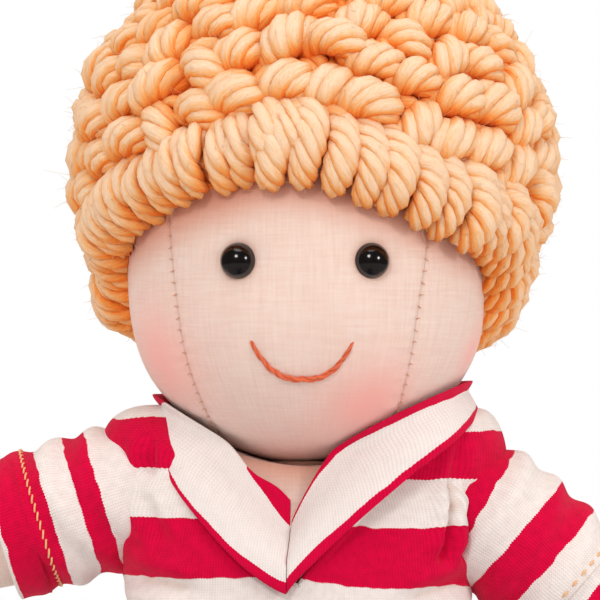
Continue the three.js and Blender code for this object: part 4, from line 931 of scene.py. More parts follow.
def striped_knit(name, edges):
    """A knit that starts crimson and changes with cream at each edge, in millimetres along the cloth.

    The edges are jagged by the stitches, which also shade both colours; a warm brown shade is painted into the cream
    where the cloth is marked as shaded in its folds."""
    material, tree, shader, place, stitches = new_knit(name)
    along = calc(tree, "ADD", axes_of(tree, place)[1], stitches["Jag"])
    low, high = edges[0] - BAND_MARGIN, edges[-1] + 2 * BAND_MARGIN
    share = calc(tree, "MULTIPLY_ADD", along, 1 / (high - low), -low / (high - low))
    bands = shader_node(tree, "ValToRGB", {0: share})
    bands.color_ramp.interpolation = "CONSTANT"
    crimson, cream = (1, 1, 1, 1), (0, 0, 0, 1)
    stops = [(edge + JAG_MIDDLE - low) / (high - low) for edge in edges]
    first, second = bands.color_ramp.elements
    first.color, second.color, second.position = crimson, cream, stops[0]
    for i, stop in enumerate(stops[1:]):
        bands.color_ramp.elements.new(stop).color = cream if i % 2 else crimson
    shade = weighed(tree, 0.12, (stitches["Height"], 0.25), (noise(tree, place, 0.5, 4.0), 0.8))
    # Painted shade: a warm brown is mixed into the cream where the cloth is marked as shaded.
    cream_with_painted_shade = mixed(tree, mark(tree, "painted_shade"), mixed(tree, shade, "CCBFBB", "ECE4E0"), "B5723F")
    colour = mixed(tree, bands.outputs[0], cream_with_painted_shade, mixed(tree, shade, "A0002A", "DA003E"))
    finish_material(tree, shader, colour, stitches["Height"], 0.35, 0.14)
    return material


def shirt_reach(height, around):
    """How far the shirt reaches below the shoulders: an ease round the body, swollen at the tops of the sides."""
    swell = SHOULDER_SWELL * np.sin(around) ** 4 * smooth_step(SWELL_FROM, SWELL_TO, height)
    return torso_reach(height, around, JERSEY_EASE) + swell


def collar_width(turn):
    """How wide the collar is at a turn from the front: from the front's or the back's width to the side's."""
    side = np.abs(np.sin(turn))
    wide = np.where(turn < math.pi / 2, COLLAR_FRONT_WIDTH, COLLAR_BACK_WIDTH)
    return wide + (COLLAR_SIDE_WIDTH - wide) * side + COLLAR_BULGE * side * np.maximum(np.cos(turn), 0) ** 2


def collar_point(around, across, depth):
    """A point of the collar at a turn from the front, across from its inner to its outer edge and out from the body.

    Heights go from the front's or the back's to the side's; the inner edge lies against the head or the body, and the
    band runs out from there onto the shirt in front and stands off it at the sides."""
    turn = np.abs(around)
    side = np.abs(np.sin(turn))
    top = np.where(turn < math.pi / 2, COLLAR_FRONT_TOP, COLLAR_BACK_TOP)
    climb = side ** (COLLAR_SWEEP + COLLAR_SWEEP_SKEW * np.sign(around))
    height = top + (COLLAR_SIDE_TOP + COLLAR_TILT * np.sign(around) - top) * climb - across * collar_width(turn)
    hug = np.sqrt(np.maximum((HEAD_RADIUS + COLLAR_GAP) ** 2 - (height - HEAD_CENTRE[2]) ** 2, 1))
    hug = hug + HEAD_CENTRE[0] * np.sin(around)
    close = np.logaddexp(torso_reach(COLLAR_RING, turn, 1) * (1 - COLLAR_WAIST * side ** 2), hug)
    at_side = COLLAR_SIDE_REACH + COLLAR_SHIFT * np.sign(around) + COLLAR_FLARE * across
    loose = shirt_reach(np.minimum(height, SHOULDER_TURN), turn) + COLLAR_LIFT
    loose = np.maximum(loose + (at_side - loose) * side ** 3, hug)
    reach = close + (loose - close) * smooth_step(0, 0.6, across) + depth
    return on_torso(reach, around + COLLAR_SKEW * (1 + np.cos(turn)) / 2, height)


def folded(points, folds):
    """How far cloth is drawn in by its folds, seen from the front: each fold is a bell curve of the distance to a
    line from one place to another, with a lower ridge on both sides, fading out at the line's ends."""
    drawn = 0
    for x0, z0, x1, z1, wide, deep in folds:
        line = np.array((x1 - x0, z1 - z0))
        from_start = points[..., (0, 2)] - (x0, z0)
        share = from_start @ line / (line @ line)
        gap = (from_start[..., 0] * line[1] - from_start[..., 1] * line[0]) / np.hypot(*line)
        fade = between(*FOLD_FADE, share)
        ridges = FOLD_RIDGE * bell(np.abs(gap) - FOLD_RIDGE_AT * wide, wide)
        drawn = drawn + deep * fade * (bell(gap, wide) - ridges)
    return drawn


def bezier(share, start, leave, arrive, end):
    """A cubic curve from the start to the end, drawn towards the two values between."""
    rest = 1 - share
    return rest ** 3 * start + 3 * rest ** 2 * share * leave + 3 * rest * share ** 2 * arrive + share ** 3 * end


jersey_knit = striped_knit("jersey_bands", BAND_EDGES)
for panel, low, front in (("jersey_front", -math.pi / 2, 1), ("jersey_back", math.pi / 2, 0)):
    around = np.linspace(low, low + math.pi, 141)
    signed = (around + math.pi) % (2 * math.pi) - math.pi
    under = collar_point(signed, NECK_TUCK - RIGHT_TUCK * between(*RIGHT_CUT, signed),
                         UNDER_COLLAR + SIDE_RISE * smooth_step(*SIDE_RISE_RANGE, np.abs(signed)))
    neck_height, neck_reach = under[:, 2], np.hypot(under[:, 0], under[:, 1] - TORSO_CENTRE[1])
    turn_height = SHOULDER_TURN - LEFT_SHOULDER_DROP * between(*LEFT_CUT, signed)
    turn_height = np.minimum(neck_height - SHOULDER_LEAST, turn_height)
    height = JERSEY_HEM + (turn_height - JERSEY_HEM) * np.linspace(0, 1, 91)[:, None]
    reach = shirt_reach(height, around)
    reach = reach + HEM_WAVE * np.sin(around * HEM_WAVES + 1) * smooth_step(*HEM_WAVE_FADE, height)
    share = np.linspace(0, 1, 34)[1:, None]
    corner = reach[-1]
    rise = neck_height - turn_height
    over = bezier(share, corner, corner + CORNER_OUT * rise, neck_reach + NECK_IN * (corner - neck_reach), neck_reach)
    up = bezier(share, turn_height, turn_height + CORNER_UP * rise, neck_height + NECK_OVER * rise, neck_height)
    reach, height = np.concatenate([reach, over]), np.concatenate([height, up])
    points = on_torso(reach, around, height)
    drawn = folded(points, JERSEY_FOLDS) * front
    # Painted shade: the cream is marked darker where the folds draw the cloth in.
    painted_shade = FOLD_SHADE * smooth_step(*FOLD_SHADE_RANGE, drawn)
    drawn = drawn + (JERSEY_LUMP * lumps(points, JERSEY_LUMP_LENGTH, 5)
                     * smooth_step(*JERSEY_LUMP_RANGE, neck_height - height))
    climb = BAND_CLIMB * smooth_step(*BAND_CLIMB_RANGE, points[..., 0]) * front
    cloth_height = height + BAND_STRAY * lumps(points, BAND_STRAY_LENGTH, 8) + climb
    points = on_torso(reach - drawn, around, height)
    from_head = np.linalg.norm(points - HEAD_CENTRE, axis=-1, keepdims=True)
    points = HEAD_CENTRE + (points - HEAD_CENTRE) * np.maximum(from_head, HEAD_RADIUS + HEAD_ROOM) / from_head
    faces = grid_faces(*points.shape[:2])
    middles = points.reshape(-1, 3)[faces].mean(1)
    kept = np.ones(len(faces), bool)
    for shoulder in shoulder_at.values():
        kept &= np.linalg.norm(middles - shoulder, axis=-1) > ARMHOLE
    places = grid_places(JERSEY_WIDE * around, cloth_height)[kept]
    shirt = make_piece(panel + "_knit", points, [faces[kept]], jersey_knit, [places], {"painted_shade": painted_shade},
                       inside=TORSO_CENTRE)
    thicken(shirt, JERSEY_CLOTH)
    settle(shirt, "torso", "striped_knit", panel)

# Collar: two flat bands of cream rib with crimson edges, crossed to a point on the chest and joined at the nape.
# Each half is a rounded flat section carried along the neckline from the front to the back.
COLLAR_CLOTH, COLLAR_LONG = 1.6, 33
COLLAR_SECTION = 40
COLLAR_WAVE, COLLAR_WAVE_LENGTH = 0.5, 26
COLLAR_ENDS = 0.002
UNDERLAP, UNDERLAP_RANGE = 0.36, (0.55, 0.02)
LEFT_INNER, LEFT_INNER_GROWS, LEFT_RANGE = 0.6, 1.4, (0.15, 0.7)
RIGHT_INNER, RIGHT_INNER_FRONT, RIGHT_INNER_BACK = -2, 2.2, 4
RIGHT_FRONT_RANGE, RIGHT_BACK_RANGE = (0.6, 0.5), (1.1, 1.4)
OUTER_EDGE = {1: 2.0, -1: 1.5}
TIP_EDGE, TIP_RANGE = 1.2, (0.95, 0.1)
EDGE_MIDDLE, EDGE_JAG = 0.75, 0.7
collar_knit, tree, shader, place, stitches = new_knit("collar_rib")
across = weighed(tree, axes_of(tree, place)[1], (stitches["Jag"], EDGE_JAG))
inner_edge = calc(tree, "LESS_THAN", across, calc(tree, "ADD", mark(tree, "inner_edge"), EDGE_MIDDLE))
outer_edge = calc(tree, "GREATER_THAN", across, calc(tree, "ADD", mark(tree, "outer_edge"), EDGE_MIDDLE))
shade = weighed(tree, 0.3, (stitches["Height"], 0.3), (noise(tree, place, 0.5), 0.4))
colour = mixed(tree, calc(tree, "MAXIMUM", inner_edge, outer_edge),
               mixed(tree, shade, "D0C4C0", "ECE4E1"), mixed(tree, shade, "A0002A", "DA003E"))
finish_material(tree, shader, colour, stitches["Height"], 0.35, 0.13)
turn = round_turn(COLLAR_SECTION)
flat_across = 0.5 - 0.5 * squared(np.cos(turn), 0.55)
flat_depth = COLLAR_CLOTH * (0.5 + 0.5 * squared(np.sin(turn), 0.6))
around = np.linspace(COLLAR_ENDS, math.pi - COLLAR_ENDS, 151)[:, None]
for side, hand in SIDES:
    line = np.concatenate([around * 30, 0 * around, 0 * around + side * 50], -1)
    waves = COLLAR_WAVE * lumps(line, COLLAR_WAVE_LENGTH, 9)[:, None] * np.sin(around)
    inner = LEFT_INNER + LEFT_INNER_GROWS * smooth_step(*LEFT_RANGE, around)
    underlap = 0
    if side < 0:
        underlap = UNDERLAP * smooth_step(*UNDERLAP_RANGE, around)
        inner = RIGHT_INNER + RIGHT_INNER_FRONT * smooth_step(*RIGHT_FRONT_RANGE, around)
        inner = inner + RIGHT_INNER_BACK * smooth_step(*RIGHT_BACK_RANGE, around)
    spread_across = flat_across - underlap * (1 - flat_across) ** 2 + 0 * around
    points = collar_point(side * around + 0 * flat_across, spread_across, flat_depth + waves)
    wide = collar_width(around)
    outer = wide - (OUTER_EDGE[side] + TIP_EDGE * smooth_step(*TIP_RANGE, around))
    v = np.concatenate([spread_across, spread_across[:, :1]], 1) * wide
    half = grid_piece(f"{hand}_collar_rib", points, collar_knit, COLLAR_LONG * around, v, closed=True, capped=True,
                      marks={"inner_edge": inner, "outer_edge": outer}, inside=points.mean(1)[40])
    settle(half, "torso", "collar_knit", f"{hand}_collar")

# Sleeves: knitted tubes in the same bands, gathered into round heads at the armholes, with a turned hem.
# Each is a ring carried along the arm and pushed in and out by folds; a line of thread holds the hem.
# The round heads are centred on the shoulder joints.
SLEEVE_HEAD, SLEEVE_HEM, SLEEVE_END = 16, 15.6, 15.9
SLEEVE_CLOTH, SLEEVE_SEWN = 0.9, 26
SLEEVE_FOLD, SLEEVE_FOLD_PITCH, SLEEVE_FOLD_SLANTS, SLEEVE_SIDE_FOLD = 0.75, 9.5, (4, 2), 0.25
SLEEVE_FOLDS_FROM, SLEEVE_FOLDS_FULL, SLEEVE_FOLDS_FADE = -14, -2, 9
# Each row of the turned hem: how far past the edge, and how far inside the sleeve.
SLEEVE_TUCK = np.array(((0.35, 1), (0, 1.7), (-2, 1.3), (-7, 0.4)))
ARM_DROP = {1: math.radians(41), -1: math.radians(17)}
SLEEVES = {
    1: dict(length=31, bands=(-3.6, 5.7, 15.3, 26.7), slant=2.6, seed=1.3, hem=22.4, stitches=30, stitch=0.5,
            stitch_slant=0, thread=0.24),
    -1: dict(length=24, bands=(-12, -0.3, 5.1, 11.5, 23), slant=0, seed=4.2, hem=14.8, stitches=46, stitch=0.9,
             stitch_slant=0.35, thread=0.22)}
STITCH_ARCH, STITCH_BEND, STITCH_LOW = 0.55, 1.4, 0.25


def on_arm(side, along, up, front):
    """Points along an arm from its shoulder joint, up and to the front across it."""
    drop = ARM_DROP[side]
    along, up, front = np.broadcast_arrays(along, up, front)
    across = along * math.cos(drop) + up * math.sin(drop)
    points = np.stack([side * across, -front, up * math.cos(drop) - along * math.sin(drop)], -1)
    return points + shoulder_at[side]


def round_head(along, radius, tube):
    """The radius of a tube that starts in a half ball about the place where along is nought."""
    return np.where(along < 0, np.sqrt(np.maximum(radius ** 2 - along ** 2, 1)), tube)


def sleeve_size(along, turn, length, seed):
    """The radius of a sleeve: a ball head that runs into a slightly narrower tube, with folds that run round the
    head and slant along the tube and die out towards the hem."""
    tube = SLEEVE_HEAD + (SLEEVE_HEM - SLEEVE_HEAD) * smooth_step(0, length, along)
    wide, narrow = SLEEVE_FOLD_SLANTS
    slant = along + wide * np.sin(turn + seed) + narrow * np.sin(2 * turn + 2 * seed)
    folds = SLEEVE_FOLD * np.sin(2 * math.pi * slant / SLEEVE_FOLD_PITCH + seed)
    folds = folds * between(SLEEVE_FOLDS_FROM, SLEEVE_FOLDS_FULL, length - SLEEVE_FOLDS_FADE, length, along)
    return round_head(along, SLEEVE_HEAD, tube) + folds + SLEEVE_SIDE_FOLD * np.sin(3 * turn + seed)


def sew(name, body, centres, middle, radius, sides):
    """Stitches of hem thread: tubes along short paths, with their rings turned away from the limb's joint."""
    points, faces, places = tubes(centres, centres - middle, radius, sides)
    settle(make_piece(name, points, faces, hem_thread, places), body, "mouth_thread")


hem_thread = thread_of("hem_thread", 0.6, (5.0, 0.8), "E08A3C", "F6D3A0")
for side, hand in SIDES:
    cut, shoulder = SLEEVES[side], shoulder_at[side]
    length = cut["length"]
    rounding = -SLEEVE_END * np.cos(np.linspace(0, math.pi / 2, 26))
    along = np.concatenate([rounding, np.linspace(0, length, 81)[1:]])[:, None]
    turn = round_turn(120)
    size = sleeve_size(along, turn, length, cut["seed"])
    along = np.concatenate([along, length + SLEEVE_TUCK[:, :1]])
    size = np.concatenate([size, size[-1:] - SLEEVE_TUCK[:, 1:]])
    points = on_arm(side, along, size * np.cos(turn), size * np.sin(turn))
    u = SLEEVE_HEAD * np.linspace(0, 2 * math.pi, 121)
    bands_at = along + cut["slant"] * np.cos(u / SLEEVE_HEAD) * smooth_step(3, -4, along)
    sleeve = grid_piece(f"{hand}_sleeve_knit", points, striped_knit(f"{hand}_sleeve_bands", cut["bands"]), u, bands_at,
                        closed=True, inside=shoulder)
    thicken(sleeve, SLEEVE_CLOTH)
    way = on_arm(side, 1, 0, 0) - shoulder
    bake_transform(sleeve)
    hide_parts(f"{hand}_sleeve")
    steps = np.linspace(-1, 1, 9)
    turn = round_turn(cut["stitches"])[:, None] + cut["stitch"] * steps * math.pi / cut["stitches"]
    size = sleeve_size(np.full_like(turn, cut["hem"]), turn, length, cut["seed"])
    size = size + STITCH_ARCH * np.cos(STITCH_BEND * steps) - STITCH_LOW
    along = cut["hem"] + cut["stitch_slant"] * steps
    centres = on_arm(side, along, size * np.cos(turn), size * np.sin(turn))
    sew(f"{hand}_sleeve_thread", f"{hand}_arm", centres, shoulder, cut["thread"], 7)

# Arms: stuffed limbs of peach cotton that end in mitten hands with a thumb, each a front and a back panel.
# Each panel is half of a tapering tube, drawn in at the seams along its upper and lower edge.
TIP_RADIUS = 0.02
ARM_FROM, ARM_TO = -14.2, 87
# Each station: place along the arm, radius and flatness.
ARM_STATIONS = np.array((
    (ARM_FROM, 1, 1), (-13, 6, 1), (-10, 10.2, 1), (-5, 13.4, 1), (0, 14.3, 1), (12, 13.7, 1), (24, 12.45, 1),
    (42, 10.6, 0.97), (60, 9.2, 0.88), (70.5, 10.6, 0.72), (78.5, 10.6, 0.72), (84, 7.1, 0.72), (86.2, 4, 0.72),
    (ARM_TO, TIP_RADIUS, 0.72), (ARM_TO + 3, TIP_RADIUS, 0.72)))
ARM_ROUND, THUMB_LONG, THUMB_ROUND = 12, 5, 4
ARM_SEAM_DEPTH, ARM_SEAM_SHARE, ARM_SEAM_WIDTH = 0.5, 0.125, 0.8
THUMB_AT, THUMB_RADIUS, THUMB_LENGTH, THUMB_LEAN = (71.5, 10.6), 4.2, 15, math.radians(35)
PANELS = (("front", 1), ("back", -1))
ARM_ROWS, THUMB_ROWS, ARM_COLUMNS = 130, 33, 49
along = np.linspace(ARM_FROM, ARM_TO, ARM_ROWS)[:, None]
size = averaged(along, ARM_STATIONS, 1, (-1, -0.5, 0, 0.5, 1))
size[[0, -1]] = TIP_RADIUS
flat = averaged(along, ARM_STATIONS, 2, (-5, 0, 5))
down = np.linspace(POLE_GAP, math.pi - POLE_GAP, THUMB_ROWS)[:, None]
turn = np.linspace(0, math.pi, ARM_COLUMNS)
from_seam = (math.pi / 2 - np.abs(turn - math.pi / 2)) * size
drawn = size - np.minimum(size * ARM_SEAM_SHARE, ARM_SEAM_DEPTH) * bell(from_seam, ARM_SEAM_WIDTH)
upright, round_it = 0.5 * THUMB_LENGTH * np.cos(down), THUMB_RADIUS * np.sin(down)
thumb_along = upright * math.sin(THUMB_LEAN) + round_it * np.cos(turn) * math.cos(THUMB_LEAN)
thumb_up = upright * math.cos(THUMB_LEAN) - round_it * np.cos(turn) * math.sin(THUMB_LEAN)


def limb_nodes(limb, panel):
    """The solids that a limb's panel stands for: its own, and for the front one the stuffing too."""
    return [f"{limb}_{panel}"] + ([f"{limb}_stuffing"] if panel == "front" else [])


for side, hand in SIDES:
    for panel, facing in PANELS:
        arm = on_arm(side, along, drawn * np.cos(turn), facing * drawn * flat * np.sin(turn))
        thumb = on_arm(side, THUMB_AT[0] + thumb_along, THUMB_AT[1] + thumb_up, facing * round_it * np.sin(turn))
        points = np.concatenate([arm.reshape(-1, 3), thumb.reshape(-1, 3)])
        flip = facing * side
        faces = [grid_faces(ARM_ROWS, ARM_COLUMNS)[:, ::flip],
                 grid_faces(THUMB_ROWS, ARM_COLUMNS)[:, ::-flip] + ARM_ROWS * ARM_COLUMNS]
        places = [grid_places(along, ARM_ROUND * turn)[:, ::flip],
                  grid_places(THUMB_LONG * down, THUMB_ROUND * turn)[:, ::-flip]]
        half = make_piece(f"{hand}_arm_{panel}_cloth", points, faces, skin, places)
        settle(half, f"{hand}_arm", "skin_cotton", *limb_nodes(f"{hand}_arm", panel), fill=STUFFED)

# Legs: stuffed limbs of peach cotton inside the trousers and shoes, each an upper and a lower panel.
# Each panel is half of a tube with a round end in the hip and a foot turned up at the other.
LEG_FROM, LEG_TO, LEG_ROUND = -15.2, 116, 14
# Each station: place along the leg, half width, half height and rise.
LEG_STATIONS = np.array((
    (LEG_FROM, 1, 1, 0), (-13, 8, 8, 0), (-9, 12.4, 12.4, 0), (0, 15.3, 15.3, 0), (28.8, 14.9, 14.9, 0),
    (62.4, 13.7, 13.7, 0), (85, 11.8, 11.8, 0), (96, 11, 11, 0), (102, 12, 15.1, 2.5), (108, 12.6, 20.4, 6.1),
    (115.6, 12.6, 21.6, 7.1), (LEG_TO, 1, 1, 7.1)))
hip_at = {side: joint_at[f"{hand}_hip_swing"] for side, hand in SIDES}


def on_leg(side, along, across, up):
    """Points along a leg from its hip joint to the front, across it and up."""
    along, across, up = np.broadcast_arrays(along, across, up)
    return np.stack([across, -along, up], -1) + hip_at[side]


along = np.linspace(LEG_FROM, LEG_TO, 110)[:, None]
wide, tall, rise = (averaged(along, LEG_STATIONS, column, (-0.5, 0, 0.5)) for column in (1, 2, 3))
wide[[0, -1]] = tall[[0, -1]] = TIP_RADIUS
turn = np.linspace(0, math.pi, 37)
for side, hand in SIDES:
    for panel, facing in PANELS:
        points = on_leg(side, along, wide * np.cos(turn), rise + facing * tall * np.sin(turn))
        half = grid_piece(f"{hand}_leg_{panel}_cloth", points, skin, along, LEG_ROUND * turn,
                          inside=hip_at[side] - (0, 50, 0))
        settle(half, f"{hand}_leg", "skin_cotton", *limb_nodes(f"{hand}_leg", panel), fill=STUFFED)

# Trousers: plain blue denim, a seat on the body and two straight legs whose round tops sit on the hip joints.
# The seat follows the body and closes under it; the legs are rings along each leg, flat where they lie on the floor.
# A gathered elastic band holds the waist; tan thread holds the turned hems.
SEAT_EASE, SEAT_LEAST, SEAT_LUMP, SEAT_LUMP_LENGTH, DENIM_CLOTH = 1.6, 3, 0.35, 24, 0.8
TROUSER_TOP = 48
TWILL_PITCH = 0.7
FLOOR_CLEAR = 0.1
BAND_EASE, BAND_FOOT, BAND_HEIGHT = 2.0, 48.3, 6
BAND_HALF, BAND_GATHER, BAND_GATHERS, BAND_CORD = 0.6, 0.3, 60, 1.2
BAND_SECTION, BAND_ROUND = 16, 240
TROUSER_HEAD, TROUSER_KNEE, TROUSER_HEM, TROUSER_LENGTH = 16.9, 16.7, 16.3, 90
TROUSER_END, KNEE_AT, TROUSER_SLACK = 16.8, 45, 0.2
TROUSER_FOLD, TROUSER_FOLD_PITCH, TROUSER_FOLD_SLANT, TROUSER_FOLDED = 0.45, 15, 5, (-8, 6, 60, 86)
TROUSER_TUCK = np.array(((0.3, 0.5), (0, 1), (-3, 1.2), (-8, 1.0)))
HEM_STITCHES, HEM_STITCH_FIRST, HEM_STITCH_HALF, HEM_STITCH_AT = 44, 0.35, 0.04, 5
HEM_STITCH_RADIUS, HEM_STITCH_SINK, HEM_STITCH_ARCH, HEM_STITCH_LOWEST = 0.2, 0.05, 0.12, -0.86
denim, tree, shader = new_material("blue_denim", Roughness=0.9, Specular_IOR_Level=0.1, Sheen_Weight=0.15)
place = place_node(tree)
axes = axes_of(tree, place)
twill = wave(tree, calc(tree, "ADD", axes[0], axes[1]), TWILL_PITCH)
worn = noise(tree, place, (0.09, 0.14), 4.0)
slub = noise(tree, place, (2.5, 0.15), 3.0)
shade = weighed(tree, -0.55, (slub, 0.9), (twill, 0.2), (worn, 0.9))
finish_material(tree, shader, mixed(tree, shade, "25344F", "7D97BC"), twill, 0.5, 0.1)
height = np.concatenate([[FLOOR_CLEAR] * 3, np.linspace(FLOOR_CLEAR, TROUSER_TOP, 70)])[:, None]
close = np.concatenate([[0.01, 0.4, 0.8], np.linspace(0.93, 1, 6) ** 0.6, np.ones(64)])[:, None]
turn = round_turn(160)
reach = close * torso_reach(np.maximum(height, SEAT_LEAST), turn, SEAT_EASE)
lumpy = SEAT_LUMP * lumps(on_torso(reach, turn, height), SEAT_LUMP_LENGTH, 15) * (close > 0.99)
seat = grid_piece("trouser_seat_denim", on_torso(reach + lumpy, turn, height), denim,
                  TORSO_WIDE * np.linspace(0, 2 * math.pi, 161), height, closed=True, capped="first",
                  inside=TORSO_CENTRE - (0, 0, 30))
thicken(seat, DENIM_CLOTH)
settle(seat, "torso", "denim", "trouser_seat")

elastic, tree, shader = new_material("waist_elastic", Roughness=0.9, Sheen_Weight=0.2)
place = place_node(tree)
cords = wave(tree, axes_of(tree, place)[1], BAND_CORD)
shade = weighed(tree, noise(tree, place, 0.8), (cords, 0.3))
finish_material(tree, shader, mixed(tree, shade, "3A4558", "8592A6"), cords, 0.6, 0.2)
section = round_turn(BAND_SECTION)[:, None]
turn = np.linspace(0, 2 * math.pi, BAND_ROUND + 1)
gathers = BAND_GATHER * np.sin(BAND_GATHERS * turn[:-1]) - BAND_HALF
reach = torso_reach(BAND_FOOT, turn[:-1], BAND_EASE) + gathers + BAND_HALF * squared(np.cos(section), 0.5)
points = on_torso(reach, turn[:-1], BAND_FOOT + BAND_HEIGHT * (0.5 + 0.5 * squared(np.sin(section), 0.5)))
faces = grid_faces(BAND_SECTION + 1, BAND_ROUND, closed=True) % (BAND_SECTION * BAND_ROUND)
places = grid_places(TORSO_WIDE * turn, np.linspace(0, 2 * BAND_HEIGHT, BAND_SECTION + 1)[:, None])
band = make_piece("waistband_elastic", points, [faces], elastic, [places], inside=TORSO_CENTRE)
settle(band, "torso", "waist_elastic", "waistband")


def above_floor(points):
    """The same points, with none below the floor."""
    points[..., 2] = np.maximum(points[..., 2], FLOOR_CLEAR)
    return points


for side, hand in SIDES:
    hip = hip_at[side]
    rounding = -TROUSER_END * np.cos(np.linspace(0, math.pi / 2, 20))
    along = np.concatenate([rounding, np.linspace(0, TROUSER_LENGTH, 111)[1:]])[:, None]
    turn = round_turn(96)
    size = np.interp(along, (0, KNEE_AT, TROUSER_LENGTH), (TROUSER_HEAD, TROUSER_KNEE, TROUSER_HEM))
    slant = along + TROUSER_FOLD_SLANT * np.sin(turn + side)
    folds = TROUSER_FOLD * np.sin(2 * math.pi * slant / TROUSER_FOLD_PITCH) * between(*TROUSER_FOLDED, along)
    size = round_head(along, TROUSER_HEAD, size) + folds - TROUSER_SLACK
    along = np.concatenate([along, TROUSER_LENGTH + TROUSER_TUCK[:, :1]])
    size = np.concatenate([size, size[-1:] - TROUSER_TUCK[:, 1:]])
    points = above_floor(on_leg(side, along, size * np.cos(turn), size * np.sin(turn)))
    leg = grid_piece(f"{hand}_trouser_leg_denim", points, denim, TROUSER_HEAD * np.linspace(0, 2 * math.pi, 97), along,
                     closed=True, inside=hip - (0, 40, 0))
    thicken(leg, DENIM_CLOTH)
    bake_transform(leg)
    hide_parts(f"{hand}_trouser_leg")
    spots = np.linspace(HEM_STITCH_FIRST, 2 * math.pi + HEM_STITCH_FIRST, HEM_STITCHES, endpoint=False)
    steps = np.linspace(-1, 1, 5)
    turn = spots[np.sin(spots) > HEM_STITCH_LOWEST][:, None] + HEM_STITCH_HALF * steps
    size = TROUSER_HEM - HEM_STITCH_SINK + HEM_STITCH_ARCH * np.cos(STITCH_BEND * steps)
    centres = on_leg(side, TROUSER_LENGTH - HEM_STITCH_AT, size * np.cos(turn), size * np.sin(turn))
    sew(f"{hand}_trouser_thread", f"{hand}_leg", centres, hip, HEM_STITCH_RADIUS, 6)

# Shoes: soft brown felt uppers on flat soles of thick cream felt that face forward, as the feet of a seated doll do.
# An upper is rings along the foot with a rolled top; a sole is a rounded slab of the foot's outline.
SHOE_TOP, SHOE_TOE, FOOT_END = 85, 116.5, 115.6
SHOE_CLOTH, SHOE_ROUND = 1.9, 15
SHOE_ROLL = np.array(((6, 0.3), (1, 0.3), (-0.3, 1.1)))
SHOE_CLOSE = np.array(((117.3, 1.6), (117.8, 0.9), (117.9, 0), (117.9, -8)))
SOLE_MIDDLE, SOLE_HALF_THICK, SOLE_HALF_WIDE, SOLE_HALF_TALL, SOLE_RISE = 119.8, 1.6, 14.5, 23.5, 7.1
SOLE_EDGE = np.array(((-1, 6), (-1, 0.9), (-0.8, 0.3), (-0.4, 0), (0.4, 0), (0.8, 0.3), (1, 0.9), (1, 6)))
felt, tree, shader = new_material("brown_felt", Roughness=0.95, Specular_IOR_Level=0.08, Sheen_Weight=0.35)
hairs = noise(tree, object_place(tree), 1400.0, 4.0)
clouds = noise(tree, object_place(tree), 120.0)
shade = weighed(tree, -0.15, (clouds, 0.6), (hairs, 0.7))
finish_material(tree, shader, mixed(tree, shade, "5A3524", "9C6A4A"), hairs, 0.6, 0.25)
sole_felt, tree, shader = new_material("cream_felt", Roughness=0.95, Specular_IOR_Level=0.08, Sheen_Weight=0.35)
grain = noise(tree, object_place(tree), 800.0, 4.0)
finish_material(tree, shader, mixed(tree, grain, "CDBE9F", "F0E8D6"), grain, 0.5, 0.2)
foot = np.concatenate([np.linspace(SHOE_TOP, SHOE_TOE, 60)[:, None], SHOE_CLOSE[:, :1]])
shape = [averaged(np.minimum(foot, FOOT_END), LEG_STATIONS[:-1], column, (-2, 0, 2)) for column in (1, 2, 3)]
wide, tall, rise = (np.concatenate([values[:1]] * len(SHOE_ROLL) + [values]) for values in shape)
grow = np.concatenate([SHOE_ROLL[:, 1:], np.full((60, 1), SHOE_CLOTH), SHOE_CLOSE[:, 1:]])
shoe_along = np.concatenate([SHOE_TOP + SHOE_ROLL[:, :1], foot])
sole_along, shrink = SOLE_MIDDLE + SOLE_HALF_THICK * SOLE_EDGE[:, :1], SOLE_EDGE[:, 1:]
turn = round_turn(80)
u = SHOE_ROUND * np.linspace(0, 2 * math.pi, 81)
for side, hand in SIDES:
    points = above_floor(on_leg(
        side, shoe_along, (wide + grow) * np.cos(turn), rise + (tall + grow) * np.sin(turn)))
    upper = grid_piece(f"{hand}_shoe_felt", points, felt, u, shoe_along, closed=True,
                       inside=hip_at[side] - (0, 100, -5))
    settle(upper, f"{hand}_leg", "shoe_felt", f"{hand}_shoe_upper")
    points = above_floor(on_leg(side, sole_along, (SOLE_HALF_WIDE - shrink) * np.cos(turn),
                                SOLE_RISE + (SOLE_HALF_TALL - shrink) * np.sin(turn)))
    sole = grid_piece(f"{hand}_sole_slab", points, sole_felt, u, sole_along, closed=True, capped=True,
                      inside=points.mean((0, 1)))
    settle(sole, f"{hand}_leg", "shoe_sole", f"{hand}_shoe_sole")

# Stage: a pale round floor, a large soft lamp on each side of the camera, a lamp above and a white surround.
# None of it is part of the doll.
FLOOR_RADIUS, FLOOR_SIDES = 590, 96
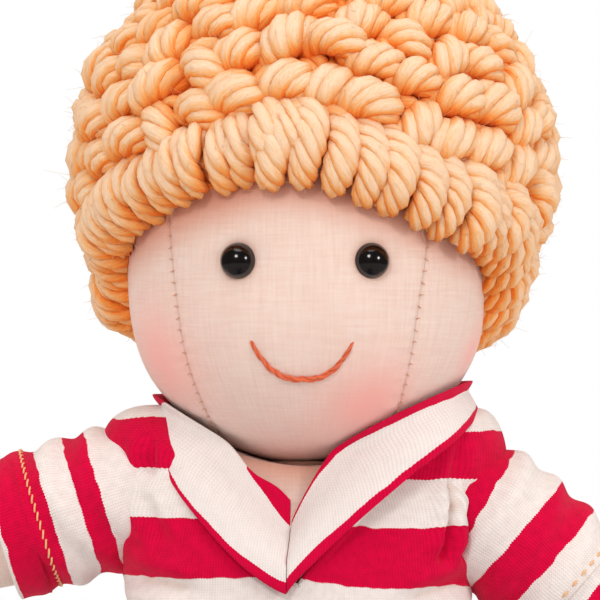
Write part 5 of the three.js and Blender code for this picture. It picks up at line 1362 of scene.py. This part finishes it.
# Each lamp: name, place, width and power.
LAMPS = (
    ("key_lamp", (-330, -1250, 860), 400, 5.4), ("fill_lamp", (1080, -960, 560), 290, 4.4),
    ("top_lamp", (0, -150, 1000), 700, 2.6))
SURROUND_LIGHT, SURROUND_GLOSS = 0.8, 0.1
paper, tree, shader = new_material("pale_paper", Roughness=0.9)
grain = noise(tree, object_place(tree), 60.0, 4.0)
in_gloss = shader_node(tree, "LightPath", {}).outputs["Is Glossy Ray"]
# Painted shade for reflections: the floor turns dark grey where glossy rays see it, which dims its reflection in the
# beads.
finish_material(tree, shader, mixed(tree, in_gloss, mixed(tree, grain, "F6F4F2", "FCFBFA"), "8A8886"))
turn = round_turn(FLOOR_SIDES)
ring = FLOOR_RADIUS * np.stack([np.cos(turn), np.sin(turn), 0 * turn], -1)
floor = make_piece("floor", ring, [np.arange(FLOOR_SIDES)[None]], paper)
for name, spot, size, power in LAMPS:
    lamp = bpy.data.lights.new(name, "AREA")
    lamp.shape = "DISK"
    lamp.size = size * MM
    lamp.energy = power
    stand = bpy.data.objects.new(name, lamp)
    stand.location = np.array(spot) * MM
    aim = (HEAD_CENTRE - spot) * MM
    stand.rotation_euler = (math.acos(-aim[2] / np.linalg.norm(aim)), 0, math.atan2(aim[1], aim[0]) - math.pi / 2)
    bpy.context.scene.collection.objects.link(stand)
world = bpy.data.worlds.new("white_surround")
world.use_nodes = True
tree = world.node_tree
rays = shader_node(tree, "LightPath", {}).outputs
seen = shader_node(tree, "Background", {0: (1, 1, 1, 1), 1: 1.0}).outputs[0]
lit = shader_node(tree, "Background", {0: "FFF8F2", 1: SURROUND_LIGHT}).outputs[0]
mirrored = shader_node(tree, "Background", {0: "FFF8F2", 1: SURROUND_GLOSS}).outputs[0]
dimmed = shader_node(tree, "MixShader", {0: rays["Is Glossy Ray"], 1: lit, 2: mirrored}).outputs[0]
choice = shader_node(tree, "MixShader", {0: rays["Is Camera Ray"], 1: dimmed, 2: seen}).outputs[0]
tree.links.new(choice, tree.nodes["World Output"].inputs[0])
bpy.context.scene.world = world
bpy.context.scene.view_settings.view_transform = "Standard"
